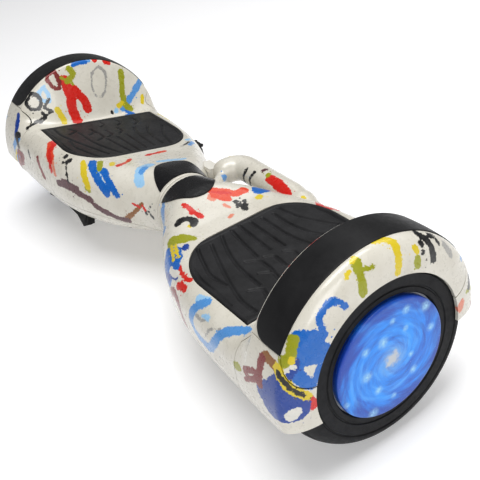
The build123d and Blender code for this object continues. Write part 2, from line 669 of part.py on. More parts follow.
COVER_THICK = 2.0
COVER_GAP = 0.5
COVER_PIN_R = 0.8
COVER_HINGE_Z = PORT_Z + 12.5


def charge_cover():
    y = INLET_WALL_Y + COVER_GAP
    flap = rod_y(INLET_R + 1.6, y, y + COVER_THICK, INLET_X, PORT_Z)
    flap = flap + box(INLET_X - 5, INLET_X + 5, y, y + COVER_THICK, PORT_Z + 6, COVER_HINGE_Z)
    plug = rod_y(INLET_BORE_R - 0.9, y - 4.2, y + 0.2, INLET_X, PORT_Z)
    plug = plug - rod_y(INLET_BORE_R - 2.2, y - 5, y - 0.2, INLET_X, PORT_Z)
    knuckle = rod_x(1.6, INLET_X - 5, INLET_X + 5, y + 1.2, COVER_HINGE_Z)
    bore = rod_x(COVER_PIN_R + RUN_GAP, INLET_X - 6, INLET_X + 6, y + 1.2, COVER_HINGE_Z)
    return flap + plug + knuckle - bore


def cover_pin():
    y = INLET_WALL_Y + COVER_GAP + 1.2
    pin = rod_x(COVER_PIN_R, INLET_X - 8, INLET_X + 8, y, COVER_HINGE_Z)
    for side in (-1, 1):
        x = INLET_X + side * 6.8
        ear = box(x - 1.2, x + 1.2, y - 6, y + 1.4, COVER_HINGE_Z - 1.6, COVER_HINGE_Z + 1.6)
        pin = pin + ear
    return pin - body_form(0.02)


def battery_pack():
    return box(79, 191, -36 + BATTERY_SHIFT, 36 + BATTERY_SHIFT,
               PLATE_Z + PLATE_THICK + 0.5, PLATE_Z + PLATE_THICK + 38)


BATTERY_SHIFT = -2.0


def main_board():
    z = PLATE_Z + PLATE_THICK + 6.0
    board = box(86, 186, -34, 34, z, z + BOARD_THICK)
    for px in (98, 124, 150, 172):
        board = board + box(px - 6, px + 6, -26, -14, z + BOARD_THICK - 0.2, z + 10)
    board = board + box(100, 170, 10, 22, z + BOARD_THICK - 0.2, z + 14)
    for px in (92, 180):
        for py in (-28, 28):
            board = board + rod_z(3.0, PLATE_Z + PLATE_THICK, z + 0.2, px, py)
    return board


SPEAKER_R = 14.0
SPEAKER_X = 102.0


def speaker():
    z = BELLY_Z + WALL + 2.0
    return rod_z(SPEAKER_R, z, z + 3.5, SPEAKER_X)


def pivot_shaft():
    tube = rod_x(SHAFT_R, -BOSS_END - 6, BOSS_END - 4, 0, PIVOT_Z)
    tube = tube - rod_x(SHAFT_BORE_R, -BOSS_END - 8, BOSS_END, 0, PIVOT_Z)
    groove = rod_x(SHAFT_R + 1, -BOSS_END - 3.6, -BOSS_END - 2.0, 0, PIVOT_Z)
    groove = groove - rod_x(SHAFT_R - 1.0, -BOSS_END - 4, -BOSS_END - 1, 0, PIVOT_Z)
    return tube - groove


def pivot_circlip():
    ring = rod_x(SHAFT_R + 3.5, -BOSS_END - 3.5, -BOSS_END - 2.1, 0, PIVOT_Z)
    ring = ring - rod_x(SHAFT_R - 0.9, -BOSS_END - 4, -BOSS_END - 1, 0, PIVOT_Z)
    return ring - box(-BOSS_END - 5, -BOSS_END, -3, 3, PIVOT_Z - 25, PIVOT_Z)


def pivot_bushes():
    group = None
    for x0, x1 in ((BOSS_START, BOSS_START + 18), (BOSS_END - 18, BOSS_END)):
        bush = rod_x(SHAFT_R + BUSH_WALL - RUN_GAP, x0, x1, 0, PIVOT_Z)
        bush = bush - rod_x(SHAFT_R + RUN_GAP, x0 - 1, x1 + 1, 0, PIVOT_Z)
        group = bush if group is None else group + bush
    return group


def stop_pin():
    z = PIVOT_Z + STOP_PIN_ORBIT
    return rod_x(STOP_PIN_R, -BOSS_START - 5, BOSS_START + 8, 0, z)


def shaft_screws():
    group = None
    for px in (28.0, 56.0):
        screw = rod_z(3.0, PIVOT_Z - BOSS_R + 2, PIVOT_Z - SHAFT_R - 0.2, px)
        group = screw if group is None else group + screw
    return group


def right_frame():
    frame = frame_casting(SHAFT_R + RUN_GAP)
    frame = frame - rod_x(STOP_PIN_R + 0.05, BOSS_START - 1, BOSS_START + 8.1, 0,
                          PIVOT_Z + STOP_PIN_ORBIT)
    for px in (28.0, 56.0):
        frame = frame - rod_z(3.1, PIVOT_Z - BOSS_R - 8, PIVOT_Z - SHAFT_R + 2, px)
    return frame


def left_frame():
    return frame_casting(SHAFT_R + BUSH_WALL) - stop_slot()


build_half("right", lambda shape: shape)
build_half("left", on_left)
save("right_frame", right_frame())
save("left_frame", on_left(left_frame()))
save("carry_handle", handle())
save("handle_guide", on_left(handle_guide()))
save("pivot_shaft", pivot_shaft())
save("pivot_circlip", pivot_circlip())
save("pivot_bushes", on_left(pivot_bushes()))
save("stop_pin", stop_pin())
save("shaft_screws", shaft_screws())
save("battery_pack", on_left(battery_pack()))
save("main_board", main_board())
save("speaker", speaker())
save("power_bezel", on_left(power_bezel()))
save("power_button", on_left(power_button()))
save("charge_inlet", on_left(charge_inlet()))
save("charge_cover", on_left(charge_cover()))
save("cover_pin", on_left(cover_pin()))
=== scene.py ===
import json
import math
import random

import bmesh
import bpy
import numpy as np
from mathutils import Matrix, Vector

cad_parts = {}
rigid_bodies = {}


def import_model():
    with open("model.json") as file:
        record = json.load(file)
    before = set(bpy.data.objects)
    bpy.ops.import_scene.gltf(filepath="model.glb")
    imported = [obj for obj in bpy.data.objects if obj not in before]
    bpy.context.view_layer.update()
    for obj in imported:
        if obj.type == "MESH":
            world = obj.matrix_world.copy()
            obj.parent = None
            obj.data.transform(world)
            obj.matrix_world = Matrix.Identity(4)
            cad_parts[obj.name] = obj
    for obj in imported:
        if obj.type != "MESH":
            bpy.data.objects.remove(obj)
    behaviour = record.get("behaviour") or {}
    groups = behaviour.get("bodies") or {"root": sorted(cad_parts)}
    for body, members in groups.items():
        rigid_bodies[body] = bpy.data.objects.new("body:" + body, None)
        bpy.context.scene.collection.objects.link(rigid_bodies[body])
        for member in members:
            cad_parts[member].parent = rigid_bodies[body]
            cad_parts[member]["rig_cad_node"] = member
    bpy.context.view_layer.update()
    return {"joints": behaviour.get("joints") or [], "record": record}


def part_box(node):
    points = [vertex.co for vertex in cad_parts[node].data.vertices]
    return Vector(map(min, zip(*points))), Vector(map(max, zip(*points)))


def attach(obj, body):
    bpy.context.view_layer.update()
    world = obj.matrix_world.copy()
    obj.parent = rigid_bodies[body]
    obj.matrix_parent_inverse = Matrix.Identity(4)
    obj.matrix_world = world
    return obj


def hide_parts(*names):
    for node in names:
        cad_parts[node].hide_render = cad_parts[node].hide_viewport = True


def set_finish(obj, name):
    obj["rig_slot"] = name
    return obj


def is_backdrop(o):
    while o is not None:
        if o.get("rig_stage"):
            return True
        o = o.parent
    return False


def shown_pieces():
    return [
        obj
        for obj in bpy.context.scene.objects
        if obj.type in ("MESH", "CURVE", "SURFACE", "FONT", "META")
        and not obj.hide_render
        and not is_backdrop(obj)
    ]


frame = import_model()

# %% [markdown]
# A self balancing board in cells
# -------------------------------
# The object is a board on two hub-motor wheels. Its two halves twist against each other on a
# hollow shaft in the middle. The CAD frame gives where everything is; this file makes what is
# seen: glossy printed shells, grooved rubber foot pads, tyres, caps and trims. All lengths below
# are millimetres, and one factor turns them into metres when a mesh is placed.

# %% The frame's box and the driving sizes
MM = 0.001
TYRE_R = (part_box("right_tyre")[1].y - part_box("right_tyre")[0].y) / 2 / MM
AXLE_Z = TYRE_R
PIVOT_Z = [j for j in frame["joints"] if j["name"] == "twist"][0]["pos_m"][2] / MM
SHELL_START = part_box("right_upper_shell")[0].x / MM
LIP_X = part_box("right_upper_shell")[1].x / MM
HUB_FACE_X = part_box("right_hub_cap")[1].x / MM
PAD_TOP_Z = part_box("right_foot_pad")[1].z / MM
PAD_IN_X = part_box("right_foot_pad")[0].x / MM
PAD_OUT_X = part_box("right_foot_pad")[1].x / MM
PAD_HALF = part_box("right_foot_pad")[1].y / MM
TYRE_IN_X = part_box("right_tyre")[0].x / MM
TYRE_OUT_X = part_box("right_tyre")[1].x / MM
HUB_CAP_R = (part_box("right_hub_cap")[1].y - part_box("right_hub_cap")[0].y) / 2 / MM
left_deck = [m for m in frame["record"]["mounts"] if m["name"] == "left_deck"][0]["axis"]
REST_TWIST = -math.atan2(left_deck[1], left_deck[2])
print("tyre radius", round(TYRE_R, 2), "pivot height", PIVOT_Z, "resting twist",
      round(math.degrees(REST_TWIST), 2))

# %% [markdown]
# The shell's form
# ----------------
# A moulded shell like this has no straight stretch: a round neck widens into a deep body with a
# flat deck, and the deck's end sweeps up into an arch over the wheel. It could be carved with
# subdivision, but here each half is one height field about the wheel axis: for a place along
# the board and an angle round the axis, a rounded section says how far out the skin is. Any
# patch of skin, a thicker trim or a paint mark can then be found with the same function.

# %% Sections of one half, from the neck to the wheel
NECK_R = 33.0
DECK_Z = 109.2
BELLY_Z = 38.0
BODY_HALF = 91.0
BODY_END_X = 236.0
SEAM_Z = 58.0
FENDER_R = 92.3
WALL_FOOT_X = 217.0
CROWN_IN_X, CROWN_OUT_X = 245.0, 277.0
CROWN_BULGE = 0.5
LIP_R = 67.0
LIP_BEND = 1.4    # radians of the lip's curl
SECTIONS = np.array([
    # x, half width, underside, top, upper corner radius, lower corner radius
    (SHELL_START, NECK_R, PIVOT_Z - NECK_R, PIVOT_Z + NECK_R, NECK_R - 0.3, NECK_R - 0.3),
    (24.0, 40.0, BELLY_Z + 10.0, PIVOT_Z + NECK_R, 33.0, 33.0),
    (50.0, 55.0, BELLY_Z + 5.5, DECK_Z + 5.0, 29.0, 35.0),
    (80.0, 70.0, BELLY_Z + 2.0, DECK_Z + 1.2, 26.0, 36.0),
    (112.0, BODY_HALF - 10.0, BELLY_Z, DECK_Z, 24.0, 37.0),
    (145.0, BODY_HALF - 4.0, BELLY_Z, DECK_Z, 23.0, 37.0),
    (190.0, BODY_HALF - 0.8, BELLY_Z, DECK_Z, 22.0, 37.0),
    (BODY_END_X, BODY_HALF, BELLY_Z, DECK_Z, 22.0, 37.0),
    (LIP_X, BODY_HALF, BELLY_Z, DECK_Z, 22.0, 37.0),
])
print(len(SECTIONS), "sections from x", SECTIONS[0, 0], "to", SECTIONS[-1, 0])


# %% How far out the skin is
SEARCH_NEAR, SEARCH_FAR, HALVINGS = 2.0, 150.0, 34


def smooth_between(x, xs, ys):
    """Monotone cubic curve through the points (xs, ys)."""
    step = np.diff(xs)
    rise = np.diff(ys) / step
    slope = np.zeros(len(xs))
    for i in range(1, len(xs) - 1):
        if rise[i - 1] * rise[i] > 0:
            slope[i] = 2 * rise[i - 1] * rise[i] / (rise[i - 1] + rise[i])
    slope[0] = rise[0]
    k = np.clip(np.searchsorted(xs, x) - 1, 0, len(xs) - 2)
    t = (x - xs[k]) / step[k]
    h00 = (1 + 2 * t) * (1 - t) ** 2
    h10 = t * (1 - t) ** 2
    h01 = t * t * (3 - 2 * t)
    h11 = t * t * (t - 1)
    return (h00 * ys[k] + h10 * step[k] * slope[k] + h01 * ys[k + 1] + h11 * step[k] * slope[k + 1])


def section_at(x):
    """Half width, underside, top, upper and lower corner radius at x."""
    return [smooth_between(x, SECTIONS[:, 0], SECTIONS[:, i]) for i in range(1, 6)]


def body_reach(x, turn, grow=0.0):
    """Distance from the wheel axis to the body's skin at x, `turn` radians from the top.

    The distance is found by halving: a point inside the rounded section lies nearer than the
    skin, a point outside it lies further."""
    half, low, high, r_up, r_low = section_at(x)
    near = np.full(np.shape(x), SEARCH_NEAR)
    far = np.full(np.shape(x), SEARCH_FAR)
    for _ in range(HALVINGS):
        mid = (near + far) / 2
        y = np.abs(mid * np.sin(turn))
        z = AXLE_Z + mid * np.cos(turn) - (low + high) / 2
        r = np.where(z > 0, r_up, r_low)
        qy = y - half + r
        qz = np.abs(z) - (high - low) / 2 + r
        gap = np.minimum(np.maximum(qy, qz), 0) + np.hypot(np.maximum(qy, 0), np.maximum(qz, 0)) - r
        near = np.where(gap < grow, mid, near)
        far = np.where(gap < grow, far, mid)
    return mid


def ramp(t, start=0.25, end=0.1):
    """Rises from 0 to 1 with a soft start and a soft end."""
    top = 1 / (1 - start / 2 - end / 2)
    a = top * t * t / (2 * start)
    b = top * (t - start / 2)
    c = 1 - top * (1 - t) ** 2 / (2 * end)
    return np.where(t < start, a, np.where(t > 1 - end, c, b))


def skin_reach(x, turn, lip=0.0, arch=True):
    """Reach of the whole skin: body, fender wall, crown, and lip from 0 at the crown to 1."""
    body = body_reach(np.minimum(x, BODY_END_X), turn)
    if not arch:
        return body
    t = np.clip((x - WALL_FOOT_X) / (CROWN_IN_X - WALL_FOOT_X), 0, 1)
    over = np.clip((x - CROWN_IN_X) / (CROWN_OUT_X - CROWN_IN_X), 0, 1)
    crown = FENDER_R + CROWN_BULGE * np.sin(over * math.pi)
    wall = body + (crown - body) * ramp(t)
    curl = (1 - np.cos(lip * LIP_BEND)) / (1 - math.cos(LIP_BEND))
    return wall - curl * (FENDER_R - LIP_R)


def lip_x(lip):
    """Place along the board of a point on the lip, which curls in by part of a circle."""
    return CROWN_OUT_X + (LIP_X - CROWN_OUT_X) * np.sin(lip * LIP_BEND) / math.sin(LIP_BEND)


print("skin at the deck", body_reach(np.array([160.0]), np.array([0.0])) + AXLE_Z)

# %% [markdown]
# Small helpers
# -------------
# Every finished piece sits at the origin with its place in its mesh, so a helper places a bmesh
# in metres, and for the left half mirrors it and turns it by the resting twist. Modifiers are
# applied at once, so that what is measured later is the final mesh.

# %% Placing, settling and shading a piece
LEFT = (Matrix.Translation((0, 0, PIVOT_Z * MM)) @ Matrix.Rotation(REST_TWIST, 4, "X")
        @ Matrix.Translation((0, 0, -PIVOT_Z * MM)) @ Matrix.Scale(-1, 4, (1, 0, 0)))
SIDES = ("right", "left")


def piece(name, bm, side="right", sharp=35.0):
    """Makes an object from a bmesh drawn in millimetres for the right half."""
    bmesh.ops.scale(bm, vec=(MM, MM, MM), verts=bm.verts)
    if side == "left":
        bmesh.ops.transform(bm, matrix=LEFT, verts=bm.verts)
        bmesh.ops.reverse_faces(bm, faces=bm.faces)
    mesh = bpy.data.meshes.new(name)
    mark_sharp(bm, sharp)
    bm.to_mesh(mesh)
    bm.free()
    obj = bpy.data.objects.new(name, mesh)
    bpy.context.scene.collection.objects.link(obj)
    return obj


def mark_sharp(bm, degrees):
    """Shades a bmesh smooth, except over edges sharper than an angle."""
    for face in bm.faces:
        face.smooth = True
    for edge in bm.edges:
        edge.smooth = edge.calc_face_angle(0.0) < math.radians(degrees)


def settle(obj, sharp=35.0):
    """Applies an object's modifiers to its mesh."""
    graph = bpy.context.evaluated_depsgraph_get()
    mesh = bpy.data.meshes.new_from_object(obj.evaluated_get(graph))
    obj.modifiers.clear()
    obj.data = mesh
    bm = bmesh.new()
    bm.from_mesh(mesh)
    mark_sharp(bm, sharp)
    bm.to_mesh(mesh)
    bm.free()
    return obj


def soften(obj, width, degrees=50.0):
    """Rounds the edges that are sharper than an angle."""
    bevel = obj.modifiers.new("soft edges", "BEVEL")
    bevel.width = width * MM
    bevel.segments = 3
    bevel.limit_method = "ANGLE"
    bevel.angle_limit = math.radians(degrees)
    return obj


def cut(obj, cutter):
    """Cuts one object out of another and removes the cutter."""
    mod = obj.modifiers.new("cut", "BOOLEAN")
    mod.operation = "DIFFERENCE"
    mod.solver = "EXACT"
    mod.object = cutter
    settle(obj)
    bpy.data.objects.remove(cutter)
    return obj


def spun(profile, steps=96, closed=True, centre=AXLE_Z):
    """A ring or disc turned about an axis along X from (x, radius) corners, in millimetres."""
    bm = bmesh.new()
    verts = [bm.verts.new((x, 0, centre + r)) for x, r in profile]
    edges = [bm.edges.new(pair) for pair in zip(verts, verts[1:])]
    if closed:
        edges.append(bm.edges.new((verts[-1], verts[0])))
    bmesh.ops.spin(bm, geom=verts + edges, cent=(0, 0, centre), axis=(1, 0, 0),
                   angle=math.tau, steps=steps, use_merge=True)
    bmesh.ops.remove_doubles(bm, verts=bm.verts, dist=0.001)
    bmesh.ops.recalc_face_normals(bm, faces=bm.faces)
    return bm


def face_up(bm):
    """Turns an open sheet's faces so that they look up."""
    bmesh.ops.recalc_face_normals(bm, faces=bm.faces)
    if sum(f.normal.z for f in bm.faces) < 0:
        bmesh.ops.reverse_faces(bm, faces=bm.faces)


def move_to(bm, places):
    """Moves each vertex of a bmesh to its place."""
    for vert, place in zip(bm.verts, places):
        vert.co = place


print("the left half is turned by", round(math.degrees(REST_TWIST), 2), "degrees and mirrored")

# %% [markdown]
# Camera
# ------
# The board is seen from above its right-hand end, fairly close, so the near wheel looms large.
# The camera is rolled a little, as a hand-held one is.

# %% Camera
CAMERA_TURN, CAMERA_UP, CAMERA_ROLL = (math.radians(a) for a in (61.99, 31.84, -10.87))
CAMERA_PLACE = (0.6051, -0.2618, 0.4772)
back = Vector((math.sin(CAMERA_TURN) * math.cos(CAMERA_UP),
               -math.cos(CAMERA_TURN) * math.cos(CAMERA_UP), math.sin(CAMERA_UP)))
side_way = (-back).cross(Vector((0, 0, 1))).normalized()
up_way = side_way.cross(-back)
right_way = math.cos(CAMERA_ROLL) * side_way + math.sin(CAMERA_ROLL) * up_way
over_way = -math.sin(CAMERA_ROLL) * side_way + math.cos(CAMERA_ROLL) * up_way
camera_data = bpy.data.cameras.new("camera")
camera = bpy.data.objects.new("camera", camera_data)
bpy.context.scene.collection.objects.link(camera)
turn3 = Matrix((right_way, over_way, back)).transposed()
camera.matrix_world = Matrix.Translation(CAMERA_PLACE) @ turn3.to_4x4()
camera_data.sensor_width = 36.0
camera_data.lens = 58.0
camera_data.shift_x = -0.0054
camera_data.shift_y = -0.0653
camera_data.clip_start = 0.01
bpy.context.scene.camera = camera
print("camera at", [round(v, 4) for v in camera.location])

# %% [markdown]
# Floor and light
# ---------------
# A pale floor and soft studio light: one broad key from above, a narrow strip from behind, which
# gloss shows as a long soft streak, and a fill that faces the near wheel. A dim even world lifts
# the shadows. The floor glows a little, so that it stays pale without a lamp of its own.

# %% Floor, lights and world
bm = bmesh.new()
bmesh.ops.create_grid(bm, x_segments=2, y_segments=2, size=6.0)
floor_mesh = bpy.data.meshes.new("floor")
bm.to_mesh(floor_mesh)
bm.free()
floor = bpy.data.objects.new("floor", floor_mesh)
bpy.context.scene.collection.objects.link(floor)
floor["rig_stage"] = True
floor_paint = bpy.data.materials.new("pale floor")
floor_paint.use_nodes = True
floor_shader = floor_paint.node_tree.nodes["Principled BSDF"]
floor_shader.inputs["Base Color"].default_value = (0.86, 0.86, 0.87, 1)
floor_shader.inputs["Roughness"].default_value = 0.75
floor_shader.inputs["Emission Color"].default_value = (1, 1, 1, 1)
floor_shader.inputs["Emission Strength"].default_value = 0.20
floor.data.materials.append(floor_paint)


def lamp(name, place, target, size, power):
    """An area lamp at a place, facing a target; sizes in metres, power in watts."""
    data = bpy.data.lights.new(name, "AREA")
    data.shape = "RECTANGLE"
    data.size, data.size_y = size
    data.energy = power
    obj = bpy.data.objects.new(name, data)
    obj.location = place
    obj.rotation_euler = (Vector(target) - Vector(place)).to_track_quat("-Z", "Y").to_euler()
    bpy.context.scene.collection.objects.link(obj)


lamp("key", (0.25, 0.05, 1.8), (0, 0, 0.08), (1.5, 0.8), 22.0)
lamp("strip", (-0.3, 0.9, 1.3), (0, 0, 0.1), (1.8, 0.2), 2.5)
lamp("fill", (1.6, -0.35, 0.8), (0.2, 0, 0.08), (0.8, 0.8), 7.0)
world = bpy.data.worlds.new("studio")
bpy.context.scene.world = world
world.use_nodes = True
world.node_tree.nodes["Background"].inputs[0].default_value = (1, 1, 1, 1)
world.node_tree.nodes["Background"].inputs[1].default_value = 0.25
bpy.context.scene.view_settings.view_transform = "Standard"
bpy.context.scene.view_settings.look = "Medium High Contrast"
print("three lamps and a world of strength 0.25")

# %% [markdown]
# Shell patches
# -------------
# A patch of skin starts as a flat grid. One direction of the grid runs along the board and the
# other round it, and every vertex is moved to its place on the skin. The patch is then given a
# wall, as a moulding has, and its corners are cut where the joint line runs.

# %% Grid along and round the board
ROW_STEP = 1.7
WALL_ROWS, CROWN_ROWS, LIP_ROWS = 44, 15, 19


def shell_rows():
    """Rows (x, lip) along the board, close together where the skin is steep."""
    body = np.linspace(SHELL_START, WALL_FOOT_X, int((WALL_FOOT_X - SHELL_START) / ROW_STEP))
    wall = np.linspace(WALL_FOOT_X, CROWN_IN_X, WALL_ROWS)[1:]
    crown = np.linspace(CROWN_IN_X, CROWN_OUT_X, CROWN_ROWS)[1:]
    lip = np.linspace(0, 1, LIP_ROWS)[1:]
    xs = np.concatenate([body, wall, crown, lip_x(lip)])
    return xs, np.concatenate([np.zeros(len(body) + len(wall) + len(crown)), lip])


def turn_at_height(x, lip, z, front, arch=True):
    """Angle from the top where the skin crosses a height, below the axle's."""
    turn = np.full(np.shape(x), 1.8)
    for _ in range(40):
        reach = skin_reach(x, turn, lip, arch)
        turn = np.arccos(np.clip((z - AXLE_Z) / reach, -1, 1))
    return turn if front else -turn


def skin_points(x, lip, turn, arch=True):
    """Points (x, y, z) on the skin of the right half."""
    reach = skin_reach(x, turn, lip, arch)
    return np.stack([x, -reach * np.sin(turn), AXLE_Z + reach * np.cos(turn)], axis=-1)


def patch(xs, lips, turn_a, turn_b, columns, arch=True):
    """A bmesh grid whose rows run along xs and whose columns run from turn_a to turn_b."""
    rows = len(xs)
    bm = bmesh.new()
    bmesh.ops.create_grid(bm, x_segments=columns - 1, y_segments=rows - 1, size=0.5)
    bm.verts.ensure_lookup_table()
    flat = np.array([v.co for v in bm.verts])
    i = np.rint((flat[:, 1] + 0.5) * (rows - 1)).astype(int)
    s = flat[:, 0] + 0.5
    turn = turn_a[i] + (turn_b[i] - turn_a[i]) * s
    move_to(bm, skin_points(xs[i], lips[i], turn, arch))
    bmesh.ops.recalc_face_normals(bm, faces=bm.faces)
    bm.faces.ensure_lookup_table()
    middle = bm.faces[len(bm.faces) // 2]
    centre = middle.calc_center_median()
    if middle.normal.dot(centre - Vector((centre.x, 0, AXLE_Z))) < 0:
        bmesh.ops.reverse_faces(bm, faces=bm.faces)
    return bm


def add_wall(bm, thickness):
    """Gives an open patch a wall on its inner side."""
    bm.normal_update()
    bmesh.ops.solidify(bm, geom=bm.faces[:], thickness=thickness)
    bmesh.ops.recalc_face_normals(bm, faces=bm.faces)
    return bm


print("rows along the board:", len(shell_rows()[0]))

# %% [markdown]
# The joint line
# --------------
# The two mouldings meet along a level line on the body. Beside the wheel the lower one climbs in
# a corner to the bumper strip's end, so both patches are cut by the same few planes, and each
# keeps its own side. Cutting real faces leaves a crisp hairline gap where they meet.

# %% Joint line of the two shells
FENDER_FRONT_Z, FENDER_REAR_Z = 64.0, 76.0
CORNER_X, CORNER_Y = 226.0, 69.0
STRIP_END_Z = AXLE_Z + FENDER_R * math.sin(math.radians(29.3))
LIP_SEAM_Z = 99.8
SEAM_GAP = 0.5
UPPER_COLUMNS = 176


def fender_floor(xs, lips, front):
    """Lower edge of the shell: the joint line on the body, the fender's tip beside the wheel."""
    height = FENDER_FRONT_Z if front else FENDER_REAR_Z
    share = np.clip((xs - BODY_END_X) / 6.0, 0, 1)
    z = SEAM_Z + SEAM_GAP / 2 + (height - SEAM_Z) * share
    return turn_at_height(xs, lips, z, front)


def corner_planes(gap):
    """Cuts round the lower shell's climbing corner, as (point, normal pointing to the corner)."""
    points = [(CORNER_X, 0.0), (CORNER_X, DECK_Z - 2.0), (CROWN_IN_X, STRIP_END_Z),
              (CROWN_OUT_X, STRIP_END_Z), (LIP_X, LIP_SEAM_Z)]
    planes = []
    for (xa, za), (xb, zb) in zip(points, points[1:]):
        way = Vector((xb - xa, 0, zb - za)).normalized()
        inward = Vector((way.z, 0, -way.x))
        planes.append((Vector((xa, 0, za)) + inward * gap, inward))
    return planes


def with_edges(faces):
    """Faces with all their edges and corners, as bisect_plane takes them."""
    edges = list({e for f in faces for e in f.edges})
    return faces + edges + list({v for f in faces for v in f.verts})


def split_corners(bm, keep_corners, gap):
    """Cuts the patch along the corner's joint line and keeps one side of it."""
    planes = corner_planes(gap if keep_corners else -gap)
    for point, normal in planes:
        near = [f for f in bm.faces if abs(f.calc_center_median().y) > CORNER_Y - 12]
        bmesh.ops.bisect_plane(bm, geom=with_edges(near), dist=0.0001, plane_co=point,
                               plane_no=normal)
    for side in (-1, 1):
        near = [f for f in bm.faces if f.calc_center_median().x > CORNER_X - 5]
        bmesh.ops.bisect_plane(bm, geom=with_edges(near), dist=0.0001,
                               plane_co=(0, side * CORNER_Y, 0), plane_no=(0, 1, 0))

    def in_corner(face):
        c = face.calc_center_median()
        if abs(c.y) < CORNER_Y and c.x < CROWN_OUT_X:
            return False
        walls = all((c - point).dot(normal) > 0 for point, normal in planes[:1] + planes[2:])
        slope = (c - planes[1][0]).dot(planes[1][1]) > 0 or c.x > CROWN_IN_X
        return walls and slope

    gone = [f for f in bm.faces if in_corner(f) != keep_corners]
    bmesh.ops.delete(bm, geom=gone, context="FACES")
    return bm


def upper_patch(keep_corners):
    """The upper skin, or only its corners, which belong to the lower shell."""
    xs, lips = shell_rows()
    if keep_corners:
        chosen = xs > CORNER_X - 3
        xs, lips = xs[chosen], lips[chosen]
    front = fender_floor(xs, lips, True)
    rear = fender_floor(xs, lips, False)
    bm = patch(xs, lips, front, rear, UPPER_COLUMNS)
    return split_corners(bm, keep_corners, SEAM_GAP / 2)


print("corners climb from x", CORNER_X, "to the strip's ends at z", round(STRIP_END_Z, 1))

# %% [markdown]
# Tools that cut
# --------------
# The foot pad's opening, the ports and the screw holes are made by booleans, as a moulder's core
# pins make them. Each tool is a closed block or bar a little larger than what will fill the hole.

# %% Blocks and bars
PAD_WIDE_X = 150.0
PAD_NECK_HALF = 31.0
PAD_LOBE = 1.05
PAD_TAPER = 1.0


def pad_half_width(x):
    """Half width of the foot pad at x: rounded towards the neck, nearly straight outwards."""
    t = np.clip((x - PAD_IN_X) / (PAD_WIDE_X - PAD_IN_X), 0, 1)
    lobe = np.sqrt(np.clip(1 - (1 - t) ** 2, 0, 1))
    half = PAD_NECK_HALF + (PAD_HALF - PAD_NECK_HALF) * lobe ** PAD_LOBE
    return half - PAD_TAPER * np.clip((x - PAD_WIDE_X) / (PAD_OUT_X - PAD_WIDE_X), 0, 1)


def pad_prism(grow, z0, z1):
    """A closed block with the foot pad's outline."""
    bm = bmesh.new()
    rows = 48
    bmesh.ops.create_grid(bm, x_segments=1, y_segments=rows, size=0.5)
    for vert in bm.verts:
        s = vert.co.y + 0.5
        x = PAD_IN_X + (PAD_OUT_X - PAD_IN_X) * (1 - math.cos(s * math.pi / 2))
        half = float(pad_half_width(np.array([x]))[0]) + grow
        edge = -grow if s < 0.001 else (grow if s > 0.999 else 0.0)
        vert.co = (x + edge, half * (1 if vert.co.x > 0 else -1), z0)
    top = bmesh.ops.extrude_face_region(bm, geom=bm.faces[:])
    for item in top["geom"]:
        if isinstance(item, bmesh.types.BMVert):
            item.co.z = z1
    bmesh.ops.recalc_face_normals(bm, faces=bm.faces)
    return bm


def merged(*parts):
    """Several bmeshes in one."""
    whole = bmesh.new()
    for part in parts:
        mesh = bpy.data.meshes.new("part")
        part.to_mesh(mesh)
        part.free()
        whole.from_mesh(mesh)
        bpy.data.meshes.remove(mesh)
    return whole


def rod(radius, start, end, steps=32):
    """A closed round bar between two points."""
    bm = bmesh.new()
    way = Vector(end) - Vector(start)
    turn = way.to_track_quat("Z", "Y").to_matrix().to_4x4()
    middle = Matrix.Translation((Vector(start) + Vector(end)) / 2)
    bmesh.ops.create_cone(bm, cap_ends=True, segments=steps, radius1=radius, radius2=radius,
                          depth=way.length, matrix=middle @ turn)
    return bm


def width_of(node):
    """Width and distance from the middle of a node of the CAD frame, both along the board."""
    low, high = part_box(node)
    return (high.x - low.x) / MM, abs(high.x + low.x) / 2 / MM


print("foot pad is", round(2 * PAD_HALF, 1), "wide")

# %% [markdown]
# Upper shells
# ------------
# One patch and one wall make each top. The left one also has round openings in its rear side for
# the power button and the charging inlet, which the CAD frame places.

# %% Upper shells
WALL = 2.6
PAD_GAP, PORT_GAP = 0.6, 0.2
PORT_Z = 80.0
PORT_IN_Y, PORT_OUT_Y = 66, 110
shells = {}
for side in SIDES:
    bm = add_wall(upper_patch(False), WALL)
    shell = piece(side + "_printed_top", bm, side)
    hole = piece("hole", pad_prism(PAD_GAP, PAD_TOP_Z - 12, PAD_TOP_Z + 12), side)
    cut(shell, hole)
    if side == "left":
        ports = []
        for node in ("power_bezel", "charge_inlet"):
            wide, middle_x = width_of(node)
            ports.append(rod(wide / 2 + PORT_GAP, (middle_x, PORT_IN_Y, PORT_Z),
                             (middle_x, PORT_OUT_Y, PORT_Z)))
        cut(shell, piece("ports", merged(*ports), side))
    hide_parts(side + "_upper_shell")
    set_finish(shell, "shell_print")
    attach(shell, side)
    shells[side + "_top"] = shell
    print(shell.name, len(shell.data.polygons), "faces")

# %% [markdown]
# Lower shells
# ------------
# The lower moulding is a pan under the body, a wall beside the wheel, and two corners that climb
# to the ends of the bumper strip. The pan is the same kind of grid as the top, run round below.
# The screw holes are sunk with a boolean, which leaves a clean round edge in a curved wall.

# %% Parts of a lower shell
SCREWS = ((54, 36), (108, 64), (176, 71), (214, 72))
SINK_R, SLEEVE_R = 3.9, 5.4
SINK_LOW_Z, SINK_TOP_Z, SLEEVE_TOP_Z = 20, 56.5, 57.5
AXLE_HOLE_R = 9.5
END_WALL = 2.2
PAN_COLUMNS = 140


def pan_patch():
    """The pan's skin, from the joint line round below to the joint line."""
    xs = np.linspace(SHELL_START, BODY_END_X, 120)
    none = np.zeros(len(xs))
    height = np.full(len(xs), SEAM_Z - SEAM_GAP / 2)
    front = turn_at_height(xs, none, height, True, False)
    return patch(xs, none, front, math.tau - front, PAN_COLUMNS, False)


